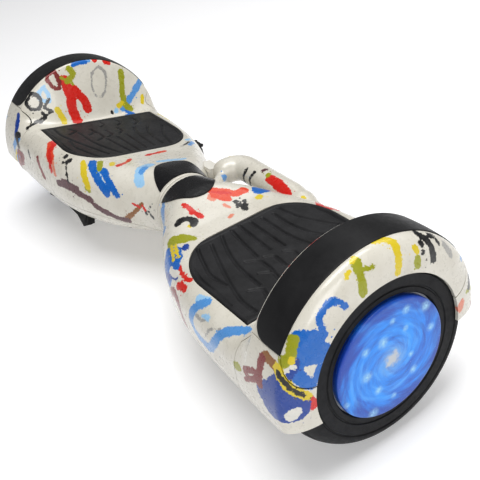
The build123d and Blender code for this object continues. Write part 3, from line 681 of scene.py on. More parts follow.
def end_wall():
    """Flat wall at the body's end, with a round hole for the axle."""
    bm = bmesh.new()
    bmesh.ops.create_grid(bm, x_segments=96, y_segments=8, size=0.5)
    for vert in bm.verts:
        turn = (vert.co.x + 0.5) * math.tau
        reach = float(body_reach(np.array([BODY_END_X]), np.array([turn]), -0.3)[0])
        radius = AXLE_HOLE_R + (reach - AXLE_HOLE_R) * (vert.co.y + 0.5)
        vert.co = (BODY_END_X - 0.1, -radius * math.sin(turn), AXLE_Z + radius * math.cos(turn))
    bmesh.ops.remove_doubles(bm, verts=bm.verts, dist=0.001)
    bmesh.ops.recalc_face_normals(bm, faces=bm.faces)
    bm.faces.ensure_lookup_table()
    if bm.faces[0].normal.x < 0:
        bmesh.ops.reverse_faces(bm, faces=bm.faces)
    return add_wall(bm, END_WALL)


def belly_height(x, y):
    """Height of the underside's skin over (x, y)."""
    half, low, _, _, r_low = [float(row[0]) for row in section_at(np.array([x]))]
    over = max(abs(y) - (half - r_low), 0)
    return low + r_low - math.sqrt(r_low ** 2 - over ** 2)


def socket(x, y):
    """A short sleeve round a sunk screw."""
    bm = bmesh.new()
    foot = belly_height(x, abs(y) + 4) + 1.2
    corners = [bm.verts.new((x + r, y, z)) for r, z in
               ((SINK_R, foot), (SLEEVE_R, foot), (SLEEVE_R, SLEEVE_TOP_Z), (SINK_R, SLEEVE_TOP_Z))]
    edges = [bm.edges.new(pair) for pair in zip(corners, corners[1:] + corners[:1])]
    bmesh.ops.spin(bm, geom=corners + edges, cent=(x, y, 0), axis=(0, 0, 1), angle=math.tau,
                   steps=24, use_merge=True)
    bmesh.ops.remove_doubles(bm, verts=bm.verts, dist=0.001)
    bmesh.ops.recalc_face_normals(bm, faces=bm.faces)
    return bm


print("screw sleeves start at z", [round(belly_height(x, y + 4) + 1.2, 1) for x, y in SCREWS])

# %% Lower shells
for side in SIDES:
    pan = piece(side + "_printed_bottom", add_wall(pan_patch(), WALL), side)
    places = [(x, y * way) for x, y in SCREWS for way in (-1, 1)]
    sinks = [rod(SINK_R, (x, y, SINK_LOW_Z), (x, y, SINK_TOP_Z), 24) for x, y in places]
    cut(pan, piece("sinks", merged(*sinks), side))
    bm = bmesh.new()
    bm.from_mesh(pan.data)
    extra = piece("extra", merged(add_wall(upper_patch(True), WALL), end_wall(),
                                  *[socket(x, y) for x, y in places]), side)
    bm.from_mesh(extra.data)
    bpy.data.objects.remove(extra)
    mark_sharp(bm, 35)
    bm.to_mesh(pan.data)
    bm.free()
    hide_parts(side + "_lower_shell")
    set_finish(pan, "shell_print")
    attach(pan, side)
    shells[side + "_bottom"] = pan
    print(pan.name, len(pan.data.polygons), "faces")

# %% [markdown]
# Bumper strips
# -------------
# A satin black band lies over the crown of the fender. Its ends are cut level, with the inner
# corner rounded, so the grid's inner edge is drawn in along a quarter circle there.

# %% Bumper strips
STRIP_TURN = math.radians(60.6)
STRIP_CORNER = 13.0
BAND_PROUD, BAND_BULGE, BAND_WALL = 0.75, 0.6, 1.6


def strip_patch():
    bm = bmesh.new()
    bmesh.ops.create_grid(bm, x_segments=170, y_segments=18, size=0.5)
    for vert in bm.verts:
        turn = vert.co.x * 2 * STRIP_TURN
        left_over = (STRIP_TURN - abs(turn)) * FENDER_R
        bend = max(0.0, 1 - left_over / STRIP_CORNER)
        x0 = CROWN_IN_X + 0.5 + STRIP_CORNER * (1 - math.sqrt(max(0.0, 1 - bend ** 2)))
        x = x0 + (CROWN_OUT_X - 0.3 - x0) * (vert.co.y + 0.5)
        over = (x - CROWN_IN_X) / (CROWN_OUT_X - CROWN_IN_X)
        reach = FENDER_R + BAND_PROUD + BAND_BULGE * math.sin(over * math.pi)
        vert.co = (x, -reach * math.sin(turn), AXLE_Z + reach * math.cos(turn))
    face_up(bm)
    return add_wall(bm, BAND_WALL)


for side in SIDES:
    strip = piece(side + "_bumper_band", strip_patch(), side)
    settle(soften(strip, 0.7))
    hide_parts(side + "_bumper_strip")
    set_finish(strip, "strip_black")
    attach(strip, side)
print("bumper bands", len(strip.data.polygons), "faces each")

# %% [markdown]
# Neck trims and seam rings
# -------------------------
# A glossy black cap like a crescent sits on each side of the middle joint, behind a pale ring.
# The cap is half an oval laid on the neck, one millimetre proud. The ring is a small section
# spun about the joint's axis, with a round outer edge.

# %% Neck trims and seam rings
TRIM_LONG, TRIM_HALF = 38.0, 28.0
TRIM_PROUD, TRIM_WALL = 1.1, 1.05
RING_CORNER = 1.1


def neck_height(x, y, grow):
    """Height of the skin over (x, y) on the neck."""
    half, _, high, r_up, _ = section_at(x)
    over = np.maximum(np.abs(y) - (half - r_up), 0)
    return high - r_up + np.sqrt(np.maximum((r_up + grow) ** 2 - over ** 2, 0))


def trim_patch():
    bm = bmesh.new()
    bmesh.ops.create_grid(bm, x_segments=72, y_segments=28, size=0.5)
    flat = np.array([v.co for v in bm.verts])
    turn = (flat[:, 0] + 0.5) * math.pi
    out = 0.02 + 0.98 * (flat[:, 1] + 0.5)
    x = SHELL_START + 0.3 + (TRIM_LONG - 0.3) * out * np.sin(turn)
    y = -TRIM_HALF * out * np.cos(turn)
    z = neck_height(x, y, TRIM_PROUD)
    move_to(bm, np.stack([x, y, z], axis=-1))
    face_up(bm)
    return add_wall(bm, TRIM_WALL)


def ring_profile():
    inner, outer, x0, x1 = NECK_R - 5.0, NECK_R + 0.8, 0.4, 4.4
    corners = [(x0, inner), (x1, inner)]
    for x, radius, start in ((x1, outer, 0.0), (x0, outer, math.pi / 2)):
        way = -1 if x == x1 else 1
        for k in range(5):
            a = start + k * math.pi / 8
            corners.append((x + way * RING_CORNER + RING_CORNER * math.cos(a),
                            radius - RING_CORNER + RING_CORNER * math.sin(a)))
    return corners


for side in SIDES:
    trim = piece(side + "_crescent", trim_patch(), side)
    settle(soften(trim, 0.45))
    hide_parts(side + "_neck_trim")
    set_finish(trim, "trim_black")
    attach(trim, side)
    ring = piece(side + "_neck_ring", spun(ring_profile(), 128, centre=PIVOT_Z), side, 40)
    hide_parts(side + "_seam_ring")
    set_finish(ring, "ring_white")
    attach(ring, side)
    shells[side + "_ring"] = ring
print("crescents and rings made")

# %% [markdown]
# Foot pads
# ---------
# The rubber mat is one sheet with a rolled edge and a fan of grooves that spread from the neck,
# and a row of short hooked grooves near the fender. A fine grid is laid over the pad's outline;
# each vertex sinks where a groove's centre line passes near it, so the grooves are real cuts.

# %% Foot pads
GROOVES = """106,-46 128,-53 146,-57 165,-55
109,-34 139,-44 167,-52 194,-57 208,-56
105,-21 131,-30 157,-35 184,-36
104,-10 125,-13 152,-16
151,-27 160,-17 172,-17 184,-20
172,-28 180,-19 190,-20
184,-47 191,-37 202,-41
103,-1 125,-2 152,-3
157,-12 163,-5 178,-6
106,9 130,9 156,9
162,4 168,10 180,9
108,20 134,20 156,22 172,27
110,31 127,31 149,34 166,41
106,39 128,43 146,50 164,59
188,14 195,21 206,19
182,33 190,40 203,39
118,-62 150,-66 190,-66
118,60 150,65 190,65
192,-6 198,1 208,0"""
GROOVE_LINES = [[tuple(map(float, spot.split(","))) for spot in row.split()]
                for row in GROOVES.split("\n")]
GROOVE_DEPTH, GROOVE_HALF, GROOVE_SLOPE = 1.5, 1.75, 1.0
RIM_DROP, RIM_ROLL = 1.3, 2.4
DISH_DEPTH, DISH_START, DISH_RAMP = 0.55, 4.2, 1.4
MAT_THICK = 4.0


def rounded_path(corners, step=2.0):
    """Points along a soft curve through the corners."""
    corners = np.array(corners, float)
    run = np.concatenate([[0], np.cumsum(np.linalg.norm(np.diff(corners, axis=0), axis=1))])
    s = np.linspace(0, run[-1], max(3, int(run[-1] / step)))
    return np.stack([smooth_between(s, run, corners[:, k]) for k in range(corners.shape[1])], axis=-1)


print(len(GROOVE_LINES), "grooves a mat")


def distance_to_path(points, path):
    """Shortest distance from each point to a path of short straight pieces."""
    best = np.full(len(points), 1e9)
    for a, b in zip(path, path[1:]):
        way = b - a
        t = np.clip(((points - a) @ way) / max(way @ way, 1e-9), 0, 1)
        best = np.minimum(best, np.linalg.norm(points - a - t[:, None] * way, axis=1))
    return best


def pad_sheet():
    """The mat of the right half: rolled rim, shallow dish, grooves, and a skirt to its back."""
    bm = bmesh.new()
    bmesh.ops.create_grid(bm, x_segments=172, y_segments=148, size=0.5)
    flat = np.array([v.co for v in bm.verts])
    s = flat[:, 1] + 0.5
    x = PAD_IN_X + (PAD_OUT_X - PAD_IN_X) * s ** 1.25
    half = pad_half_width(x)
    y = flat[:, 0] * 2 * half
    inside = np.minimum(np.minimum(half - np.abs(y), x - PAD_IN_X), PAD_OUT_X - x)
    inside = np.maximum(inside, 0)
    z = PAD_TOP_Z - RIM_DROP * (1 - np.minimum(1, inside / RIM_ROLL)) ** 2
    dish = np.clip((inside - DISH_START) / DISH_RAMP, 0, 1)
    z -= DISH_DEPTH * dish ** 2 * (3 - 2 * dish)
    spots = np.stack([x, y], axis=-1)
    depth = np.zeros(len(x))
    for line in GROOVE_LINES:
        gap = distance_to_path(spots, rounded_path(line, 3.0))
        cut_here = GROOVE_DEPTH * np.clip((GROOVE_HALF - gap) / GROOVE_SLOPE, 0, 1)
        depth = np.maximum(depth, cut_here)
    z -= depth * np.clip((inside - 2.5) / 2, 0, 1)
    move_to(bm, np.stack([x, y, z], axis=-1))
    face_up(bm)
    rim = [e for e in bm.edges if e.is_boundary]
    skirt = bmesh.ops.extrude_edge_only(bm, edges=rim)["geom"]
    for vert in [v for v in skirt if isinstance(v, bmesh.types.BMVert)]:
        vert.co.z = PAD_TOP_Z - MAT_THICK
    bmesh.ops.holes_fill(bm, edges=[e for e in bm.edges if e.is_boundary], sides=0)
    bmesh.ops.remove_doubles(bm, verts=bm.verts, dist=0.01)
    return bm


for side in SIDES:
    mat_piece = piece(side + "_grooved_mat", pad_sheet(), side, 50)
    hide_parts(side + "_foot_pad")
    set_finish(mat_piece, "pad_rubber")
    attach(mat_piece, side + "_pad")
print("grooved mats", len(mat_piece.data.polygons), "faces each")

# %% [markdown]
# Tyres and hub caps
# ------------------
# Both are turned shapes, so a profile is spun about the axle. The tyre's profile carries the
# ribs of its side wall and the grooves of its tread. The cap is one slightly domed disc; it has
# many rings of vertices because its printed specks are kept in them.

# %% Tyres
TYRE_MID_X = (TYRE_IN_X + TYRE_OUT_X) / 2
SHOULDER, SHOULDER_DROP = 78, 13.5    # degrees round the tread's curve, and its fall
TREAD_GROOVES, TREAD_DEPTH, TREAD_HALF = (-14, -5, 5, 14), 1.6, 1.3
BEAD_R = 60.0


def tyre_profile():
    """Corners (x, radius) of the tread, the ribbed outer wall and the bead."""
    half_wide = (TYRE_OUT_X - TYRE_IN_X) / 2
    corners = []
    for k in range(61):
        a = math.radians(-SHOULDER + 2 * SHOULDER * k / 60)
        x = TYRE_MID_X + half_wide * math.sin(a) / math.sin(math.radians(SHOULDER))
        radius = TYRE_R - SHOULDER_DROP * (1 - math.cos(a)) / (1 - math.cos(math.radians(SHOULDER)))
        for groove in TREAD_GROOVES:
            radius -= TREAD_DEPTH * max(0.0, 1 - abs(x - TYRE_MID_X - groove) / TREAD_HALF)
        corners.append((x, radius))
    out = [(TYRE_OUT_X - 0.2, 67.5), (TYRE_OUT_X - 0.9, 66.8), (TYRE_OUT_X - 0.9, 65.9), (TYRE_OUT_X, 65.2),
           (TYRE_OUT_X, 57.0), (TYRE_OUT_X - 0.8, 56.4), (TYRE_OUT_X - 0.8, 55.4), (TYRE_OUT_X, 54.8),
           (TYRE_OUT_X, HUB_CAP_R + 2.0), (TYRE_OUT_X - 0.8, HUB_CAP_R + 1.2),
           (TYRE_OUT_X - 3.5, HUB_CAP_R + 1.2), (TYRE_OUT_X - 3.5, BEAD_R)]
    return corners + out + [(TYRE_IN_X + 1, BEAD_R)]


def cap_profile():
    """Corners of the cap from the middle of its back, round the rim, to the middle of its face."""
    edge = TYRE_OUT_X - 3.6
    corners = [(HUB_FACE_X - 2.4, 0.0), (HUB_FACE_X - 2.4, HUB_CAP_R - 3), (edge, HUB_CAP_R - 3),
               (edge, HUB_CAP_R - 0.6), (TYRE_OUT_X - 0.6, HUB_CAP_R - 0.6), (TYRE_OUT_X + 0.2, HUB_CAP_R)]
    for k in range(7):
        a = math.radians(15 * k)
        corners.append((HUB_FACE_X - 2.0 + 1.6 * math.sin(a), HUB_CAP_R - 2.2 + 2.2 * math.cos(a)))
    for radius in np.arange(HUB_CAP_R - 4, -0.1, -1.6):
        corners.append((HUB_FACE_X - 0.4 + 0.4 * (1 - (radius / HUB_CAP_R) ** 2), max(radius, 0.0)))
    corners[-1] = (HUB_FACE_X, 0.0)
    return corners


caps = {}
for side in SIDES:
    rubber = piece(side + "_treaded_tyre", spun(tyre_profile(), 144), side, 28)
    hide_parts(side + "_tyre")
    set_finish(rubber, "tyre_rubber")
    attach(rubber, side + "_wheel")
    cap = piece(side + "_swirl_cap", spun(cap_profile(), 120, closed=False), side, 30)
    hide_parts(side + "_hub_cap")
    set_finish(cap, "cap_print")
    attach(cap, side + "_wheel")
    caps[side] = cap
print("tyre", len(rubber.data.polygons), "faces, cap", len(cap.data.polygons), "faces")

# %% [markdown]
# Carrying handle
# ---------------
# Behind the neck the shell grows into a thick tube that bends round past the middle seam and
# comes back to the neck as a thin web. Swept tubes and balls are joined, remeshed into one skin
# of small even faces and smoothed, which leaves the soft inner corners of a moulded part.

# %% Carrying handle
HANDLE_Y, HANDLE_Z, HANDLE_R, ELBOW_X = 72.5, 95.0, 13.3, -11.0
BEND_R, WEB_R = 16, 5.6
SKIN_STEP = 1.15


def ball(radius, place):
    """A ball that rounds the joint of two bars."""
    bm = bmesh.new()
    bmesh.ops.create_uvsphere(bm, u_segments=32, v_segments=20, radius=radius,
                              matrix=Matrix.Translation(place))
    return bm


def handle_parts():
    """Bars and balls along the handle, from the body round the elbow to the neck."""
    path = [(112, HANDLE_Y - 4, HANDLE_Z - 7, 15.5), (96, HANDLE_Y - 1, HANDLE_Z - 2, 14.2),
            (80, HANDLE_Y, HANDLE_Z, HANDLE_R)]
    path += [(80 - 5 * k, HANDLE_Y, HANDLE_Z, HANDLE_R) for k in range(1, 16)]
    for k in range(1, 9):
        a = math.radians(90 * k / 8)
        path.append((ELBOW_X + BEND_R - BEND_R * math.sin(a),
                     HANDLE_Y - BEND_R * (1 - math.cos(a)), HANDLE_Z, HANDLE_R))
    path.append((ELBOW_X, 55, HANDLE_Z, HANDLE_R))
    path += [(ELBOW_X + 22 * t, 53 - 24 * t, HANDLE_Z + 2 * t, WEB_R)
             for t in np.linspace(0.2, 1, 7)]
    parts = []
    for (xa, ya, za, ra), (xb, yb, zb, rb) in zip(path, path[1:]):
        start, end = Vector((xa, ya, za)), Vector((xb, yb, zb))
        parts.append(rod(min(ra, rb), start, end, 40))
        parts.append(ball(ra, start))
    return merged(*parts)


grip = piece("printed_handle", handle_parts())
remesh = grip.modifiers.new("one skin", "REMESH")
remesh.mode = "VOXEL"
remesh.voxel_size = SKIN_STEP * MM
relax = grip.modifiers.new("relax", "SMOOTH")
relax.factor = 0.5
relax.iterations = 16
settle(grip, 60)
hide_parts("carry_handle")
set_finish(grip, "shell_print")
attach(grip, "right")
shells["handle"] = grip
print("handle", len(grip.data.polygons), "faces")

# %% [markdown]
# The print
# ---------
# Splashes, brush lines and rings of many colours are printed over the gloss white shells. Each
# mark is a short path over the skin: a place along the board (past the crown it runs on round
# the lip) and an angle from the top, front positive. Every vertex keeps its distance to the
# nearest mark of each ink, less the brush's half width, and the shader turns that into a ragged
# edge. Distances blend smoothly between vertices, so an edge stays crisp on an ordinary mesh.

# %% Brush marks
INKS = {"grey": (0.33, 0.32, 0.30), "light_blue": (0.30, 0.52, 0.74), "pale_blue": (0.09, 0.28, 0.60),
        "pink": (0.66, 0.22, 0.14), "brown": (0.24, 0.09, 0.01), "maroon": (0.085, 0.02, 0.028),
        "orange": (0.66, 0.045, 0.003), "red": (0.58, 0.010, 0.002), "blue": (0.0, 0.125, 0.46),
        "dark_blue": (0.002, 0.045, 0.28), "white": (0.67, 0.65, 0.595), "dark_red": (0.19, 0.006, 0.004),
        "olive": (0.30, 0.31, 0.012), "yellow": (0.64, 0.50, 0.02), "black": (0.005, 0.005, 0.006)}
MARKS = {"right": """pale_blue 10 12,62 22,70 34,74 46,70
pale_blue 6 8,50 14,58
red 4.5 42,34 50,33 60,34 68,33
red 2.5 46,37 52,32 58,37 64,31
black 6 62,54 60,49 64,44 70,42 73,47
yellow 4 72,49 73,50
olive 12 76,66 80,62 84,60
olive 6 86,57 90,56
yellow 2.4 84,65 92,67 101,68
yellow 2.4 80,68 90,70 99,71.5
dark_blue 6 95,62 97,63
blue 16 84,71 91,70 99,71 103,75 96,79 88,78 92,75
blue 9 100,82 108,82 104,74 109,72.5
white 6 103,76 112,75 116,74
dark_blue 3.6 102,79 110,77.5 119,75.5
dark_blue 4 96,82 106,82
red 3.6 112,70.5 118,72 126,72 137,71
red 6 126,77.5 131,76.5 137,75
red 3 128,74.5 134,76
dark_red 8 114,86 122,83 130,85 134,89
dark_red 7 132,88 137,94 140,100
pale_blue 7.5 170,72 164,75 160,79 159,84 163,90 174,92 186,91 195,86 201,80 206,75.5 213,72.5 221,70
light_blue 8 160,73.5 168,72
light_blue 4 176,77 182,76
grey 1.2 166,80 173,80 181,77
grey 1.2 184,85 190,79 200,76
dark_red 6.5 261,67.5 260,73 261,80
dark_red 5 260,75 252,77 241,81
dark_red 4.4 259,78 250,82 242,86
olive 6 228,84 233,83
dark_blue 20 268,83 276,79 283,76 290,80 296,86 286,87 274,87
dark_blue 12 282,72 292,77 299,84
white 8 292,90 295,88
brown 7 264,65 272,66 276,66.5
yellow 6.4 276,66 285,70 293,74.5 302,80
black 2.4 279,68 286,70.7 293,74.5 300,79
red 9 302,83 305,87
olive 8 283,52 286,58 282,62
yellow 5 288,60
blue 4.6 301,44 296,41 292,37 291,33 294,28 301,26
blue 15 289,51 296,49 301,54 293,57 305,53
blue 9 293,65 298,70 304,72
blue 6 306,63 306,69
dark_blue 5 291,60 291,66 287,69
white 4 290,63
olive 6 284,10 290,11 296,12 303,14
olive 2.6 291,11 294,5
yellow 3 288,17 287,15
yellow 3 280,9 282,11
yellow 5.4 276,-3 280,-8 288,-11 296,-11 304,-10
yellow 4 293,-22 295,-23
olive 5 300,-24 303,-25
black 5 280,-26 284,-28
black 4 287,-30 291,-33
black 6 294,-34 299,-36
black 4 283,-34 284,-36
black 3 290,-26 291,-27
black 3 296,-28
black 2.4 300,-31
black 2.4 287,-38 289,-40
grey 5 288,-44 292,-50
black 6 288,-76 292,-80
pink 7 303,-84 305,-87
red 3 243,24 243,33
pink 4 242,34 241,40
red 3.4 243.5,10 243.5,17
red 3.4 242,50 242,54
dark_red 3 243,-6 243,-2
orange 10 44,-18 52,-28 60,-40 61,-46
orange 8 50,-14 56,-20 61,-24
red 3 44,-15 50,-24 57,-34
pink 5 54,-6 50,-4 48,-8
pink 3 66,-12 74,-16
pink 2.4 84,-6 86,0
black 4.4 70,-31
black 5.4 76,-31
black 6 80,-36 82,-33
black 4 74,-40
black 3 78,-26
black 3 86,-33
black 2.4 68,-38
black 2.4 84,-30
black 2 72,-36
blue 8 64,-58 74,-61 69,-55
yellow 6 79,-53
yellow 4 104,-72
red 6 119,-75 124,-71 132,-69 139,-71 141,-75
red 4 140,-72 144,-73
olive 6 165,-86 172,-90
blue 8 186,-88 192,-98
red 5 150,-92 160,-96 172,-94
black 3 196,-80 204,-84""",
         "left": """red 11 239,21 235,22 231,25 226,33 221,38
red 9.5 234,17 230,13 226.5,9 225,10
grey 2 241,-11 238,-4 233,-3 229,-9 229,-14 233,-19 238,-18 241,-11
olive 7 241,-31 238,-34 233,-39
olive 8 231,-42 227,-50 225,-57
yellow 5 228,-45 226,-42
yellow 4 237,-60 231,-64
light_blue 5 223,-42
black 3 222,-36
blue 5.4 243,9 243.5,0
pale_blue 4 244,-3
olive 7 242,14 240,12 238,19
olive 3 236,16 240,22
red 6 245,-8
red 6 244,-16 244,-19
dark_red 4 244,24 240,25 237,29 239,33 243,32 245,27 244,24
light_blue 4 241,38 237,40 235,44 238,47 241,44 241,38
black 3.2 244,47 240,46 237,49 236,54 239,58 243,55 244,47
black 2.8 236,42 234,51 231,50 230,64 228,72
black 2.4 233,56 230,58 228,64
yellow 6 230,45 227,48 222,53
dark_blue 6 246,66 243,73 242,80
black 4 203,84 197,88
red 6 173,69.5 166,70 160,75
orange 9 172,70.5 164,73 156,77 150,78
red 5 156,77 148,80 141,86
pink 4 148,78 141,81 134,87
dark_red 6 176,84 168,90 160,95
black 4.6 131,72
black 5.6 121,73 123,75
black 3 127,76
black 1.3 124,74 116,80 108,88
black 3 114,82
yellow 6.6 105,69 96,73 88,79 82,84
olive 4 84,86 80,88
blue 8 97,65.5 88,69 76,74 66,79 59,84
blue 7 75,66 64,71 55,77 48,83
light_blue 3 84,67 72,72.5 61,79
olive 5.4 91,62 85,64 80,67
yellow 5 81,57 76,58
red 5 69,55 73,49
red 4.6 76,44 81,38
red 4.6 83,4 84,-8 84,-18
orange 4.6 84,-22 85,-36
light_blue 10 48,28 44,40 38,50 31,58
pale_blue 5 44,36 38,46
light_blue 6 53,6 51,-8 48,-20 45,-32
maroon 7 128,92 114,91 100,92 88,94 78,96
maroon 3 122,88 108,88 96,89
maroon 6.5 74,100 60,107 50,112 41,115
brown 4.4 22,84 27,94 34,104 41,111
red 3 25,90 31,88
red 2.4 22,86 17,93
black 1.6 14,90 9,102
black 1.6 12,84 17,98
yellow 6 205,-72 195,-73
yellow 5 186,-72 180,-74
pale_blue 4 102,-70 90,-64
light_blue 3 112,-70 106,-66
black 1.6 100,-66 88,-58
red 5 140,-88 150,-94 163,-92
blue 7 118,-92 126,-100
olive 6 190,-84 200,-90
black 3 172,-80 178,-86"""}
GRIP_MARKS = """yellow 7 -16,66,108
olive 6 -18,60,100
pale_blue 9 -8,48,94 2,42,96
black 3 16,60,90 16,60,98 18,64,103
black 3.4 27,60,91 27,61,99 30,65,104
maroon 6 38,70,110 40,74,111
olive 6 48,68,109
red 10 54,66,108 66,66,107 78,64,106 86,62,104
red 5 92,62,100 98,62,98
dark_red 4 104,64,100
blue 8 30,86,96 42,86,92
yellow 5 62,86,94 70,85,90
black 3 4,84,90 10,86,96"""


print(len(INKS), "inks")

# %% Reading and scattering the marks
BRUSH_SWELL = 0.35
FIRST_SEED = 7


def skin_path(spots):
    """Points on the right half's skin along a mark given as (place, angle in degrees)."""
    spots = np.array(spots, float)
    if len(spots) == 1:
        spots = np.vstack([spots, spots + [0.4, 0.4]])
    way = rounded_path(spots * [1.0, 1.6], 3.0) / [1.0, 1.6]
    lip = np.clip((way[:, 0] - CROWN_OUT_X) / 30.0, 0, 1)
    x = np.where(way[:, 0] > CROWN_OUT_X, lip_x(lip), way[:, 0])
    return skin_points(x, lip, np.radians(way[:, 1]))


def to_left(points):
    """Carries points of the right half over to the left one."""
    flat = np.array(LEFT)
    return points @ flat[:3, :3].T + flat[:3, 3] / MM


def read_marks(table):
    """Each row's ink, half width and path; a row gives the ink, the width and the spots."""
    for line in table.split("\n"):
        ink, wide, *spots = line.split()
        path = [tuple(map(float, spot.split(","))) for spot in spots]
        yield ink, float(wide) * 0.5 + BRUSH_SWELL, path


def chance_marks(seed, left_half):
    """Marks for the parts of a half that are seldom seen: rear, underside and far fender."""
    dice = random.Random(seed)
    inks = ["red", "blue", "yellow", "olive", "black", "pale_blue", "dark_red", "dark_blue"]
    zones = [(20, 25, 215, -112, -78), (17, 30, 215, 118, 242), (16, 222, 300, -96, -46)]
    if left_half:
        zones += [(26, 282, 304, -46, 96), (8, 226, 244, 82, 100)]
    for count, near, far, low, high in zones:
        for _ in range(count):
            x, turn = dice.uniform(near, far), dice.uniform(low, high)
            spots = [(x, turn)]
            for _ in range(dice.choice((1, 2, 3))):
                x = min(max(x + dice.uniform(-13, 13), near - 6), far + 4)
                turn += dice.uniform(-7, 7)
                spots.append((x, turn))
            yield dice.choice(inks), dice.uniform(2.4, 8.5) / 2, spots


all_marks = []
for number, side in enumerate(SIDES):
    seldom_seen = list(chance_marks(FIRST_SEED + number, side == "left"))
    for ink, half_wide, spots in list(read_marks(MARKS[side])) + seldom_seen:
        path = skin_path(spots)
        all_marks.append((ink, half_wide, to_left(path) if side == "left" else path))
for ink, half_wide, spots in read_marks(GRIP_MARKS):
    spots = np.array(spots if len(spots) > 1 else spots * 2) + 0.0
    spots[-1] += 0.3
    all_marks.append((ink, half_wide, spots))
print(len(all_marks), "marks in", len(INKS), "inks")

# %% Distances kept in the shells
FAR = 14.0


def keep_print(obj):
    """Writes one distance attribute per ink into the object's mesh."""
    mesh = obj.data
    points = np.zeros(len(mesh.vertices) * 3)
    mesh.vertices.foreach_get("co", points)
    points = points.reshape(-1, 3) / MM
    fields = {ink: np.full(len(points), FAR) for ink in INKS}
    for ink, half_wide, path in all_marks:
        low, high = path.min(axis=0) - FAR - half_wide, path.max(axis=0) + FAR + half_wide
        near = np.nonzero(np.all((points > low) & (points < high), axis=1))[0]
        if len(near):
            gap = distance_to_path(points[near], path) - half_wide
            fields[ink][near] = np.minimum(fields[ink][near], gap)
    for ink, field in fields.items():
        mesh.attributes.new("ink_" + ink, "FLOAT", "POINT").data.foreach_set("value", field)


for obj in shells.values():
    keep_print(obj)
print("distances kept in", len(shells), "pieces")

# %% [markdown]
# Finishes
# --------
# A small helper adds nodes to a material and joins them, so each finish reads as a recipe. All
# patterns use Object coordinates in metres: a scale of 500 gives details about two millimetres
# across.

# %% Node helper


def recipe(name):
    """A new material: its shader, a function that adds nodes, and its object coordinates."""
    material = bpy.data.materials.new(name)
    material.use_nodes = True
    tree = material.node_tree
    shader = tree.nodes["Principled BSDF"]

    def add(kind, sockets=None, **settings):
        node = tree.nodes.new("ShaderNode" + kind)
        for key, value in settings.items():
            setattr(node, key, value)
        put(node, sockets or {})
        return node

    def put(node, sockets):
        for key, value in sockets.items():
            if isinstance(value, bpy.types.NodeSocket):
                tree.links.new(value, node.inputs[key])
            else:
                node.inputs[key].default_value = value

    place = add("TexCoord").outputs["Object"]
    return material, shader, add, put, place


def noise(add, place, scale, detail=3.0, rough=0.55):
    """A noise node's value; scale counts features per metre."""
    return add("TexNoise", {"Vector": place, "Scale": scale, "Detail": detail, "Roughness": rough}).outputs[0]


def sum_of(add, a, b, kind="ADD"):
    """Two values added, or joined by another operation of the Math node."""
    return add("Math", {0: a, 1: b}, operation=kind).outputs[0]


def spread(add, value, a, b, low, high, smooth=False):
    """Maps a..b onto low..high, held at the ends."""
    kind = "SMOOTHSTEP" if smooth else "LINEAR"
    return add("MapRange", {"Value": value, 1: a, 2: b, 3: low, 4: high}, interpolation_type=kind).outputs[0]


def blend_of(add, share, a, b):
    """Colour a where the share is 0 and colour b where it is 1."""
    return add("Mix", {0: share, 6: a, 7: b}, data_type="RGBA").outputs[2]


def rgb(colour):
    """A colour of three numbers with its alpha."""
    return (*colour, 1.0)


# %% [markdown]
# Printed gloss plastic
# ---------------------
# Under the print the plastic is a warm white, a little uneven and a little grubby. Each ink's
# distance is shaken by a coarse and a fine noise before it is cut off, which gives dry-brush
# edges; near an edge, small round cells are let through as spatter. A clear coat covers it all.

# %% The printed finish
printed, shader, add, put, place = recipe("printed gloss shell")
coarse = spread(add, noise(add, place, 110.0, 4.0), 0.3, 0.7, -1.1, 1.1)
fine = spread(add, noise(add, place, 620.0, 2.0), 0.3, 0.7, -0.7, 0.7)
shake = sum_of(add, coarse, fine)
cells = add("TexVoronoi", {"Vector": place, "Scale": 330.0, "Randomness": 1.0})
drop_size = spread(add, add("SeparateColor", {0: cells.outputs["Color"]}).outputs[0], 0.45, 1.0, 0.0, 0.34)
drop = sum_of(add, cells.outputs["Distance"], drop_size, "SUBTRACT")
patches = noise(add, place, 60.0, 2.0)
drop_reach = spread(add, patches, 0.45, 0.62, 0.4, 6.5)
tone = spread(add, noise(add, place, 38.0, 4.0), 0.3, 0.75, 0.0, 1.0)
colour = blend_of(add, tone, (0.67, 0.645, 0.575, 1), (0.57, 0.54, 0.465, 1))
speck = spread(add, noise(add, place, 1500.0, 1.0), 0.70, 0.74, 0.0, 0.28)
colour = blend_of(add, speck, colour, (0.42, 0.39, 0.34, 1))
for ink, tint in INKS.items():
    gap = add("Attribute", attribute_name="ink_" + ink).outputs["Fac"]
    brush = spread(add, sum_of(add, gap, shake), -0.28, 0.28, 1.0, 0.0)
    near = spread(add, sum_of(add, gap, drop_reach, "SUBTRACT"), -2.0, 0.5, 1.0, 0.0)
    spatter = sum_of(add, spread(add, drop, -0.05, 0.02, 1.0, 0.0), near, "MULTIPLY")
    if ink in ("grey", "light_blue", "white"):
        share = brush
    else:
        share = sum_of(add, brush, spatter, "MAXIMUM")
    thin = spread(add, noise(add, place, 240.0, 2.0), 0.30, 0.55, 0.96, 1.0)
    share = sum_of(add, share, thin, "MULTIPLY")
    colour = blend_of(add, share, colour, rgb(tint))
height = add("Bump", {"Strength": 0.05, "Distance": 0.0006, "Height": noise(add, place, 42.0, 2.0)})
peel = add("Bump", {"Strength": 0.035, "Distance": 0.0002, "Height": noise(add, place, 900.0, 2.0),
                    "Normal": height.outputs[0]})
scuffs = spread(add, noise(add, place, 210.0, 5.0, 0.7), 0.35, 0.75, 0.24, 0.40)
put(shader, {"Base Color": colour, "Roughness": scuffs, "Coat Weight": 0.4, "Coat Roughness": 0.07,
             "Normal": peel.outputs[0], "Coat Normal": height.outputs[0]})
for obj in shells.values():
    obj.data.materials.clear()
    obj.data.materials.append(printed)
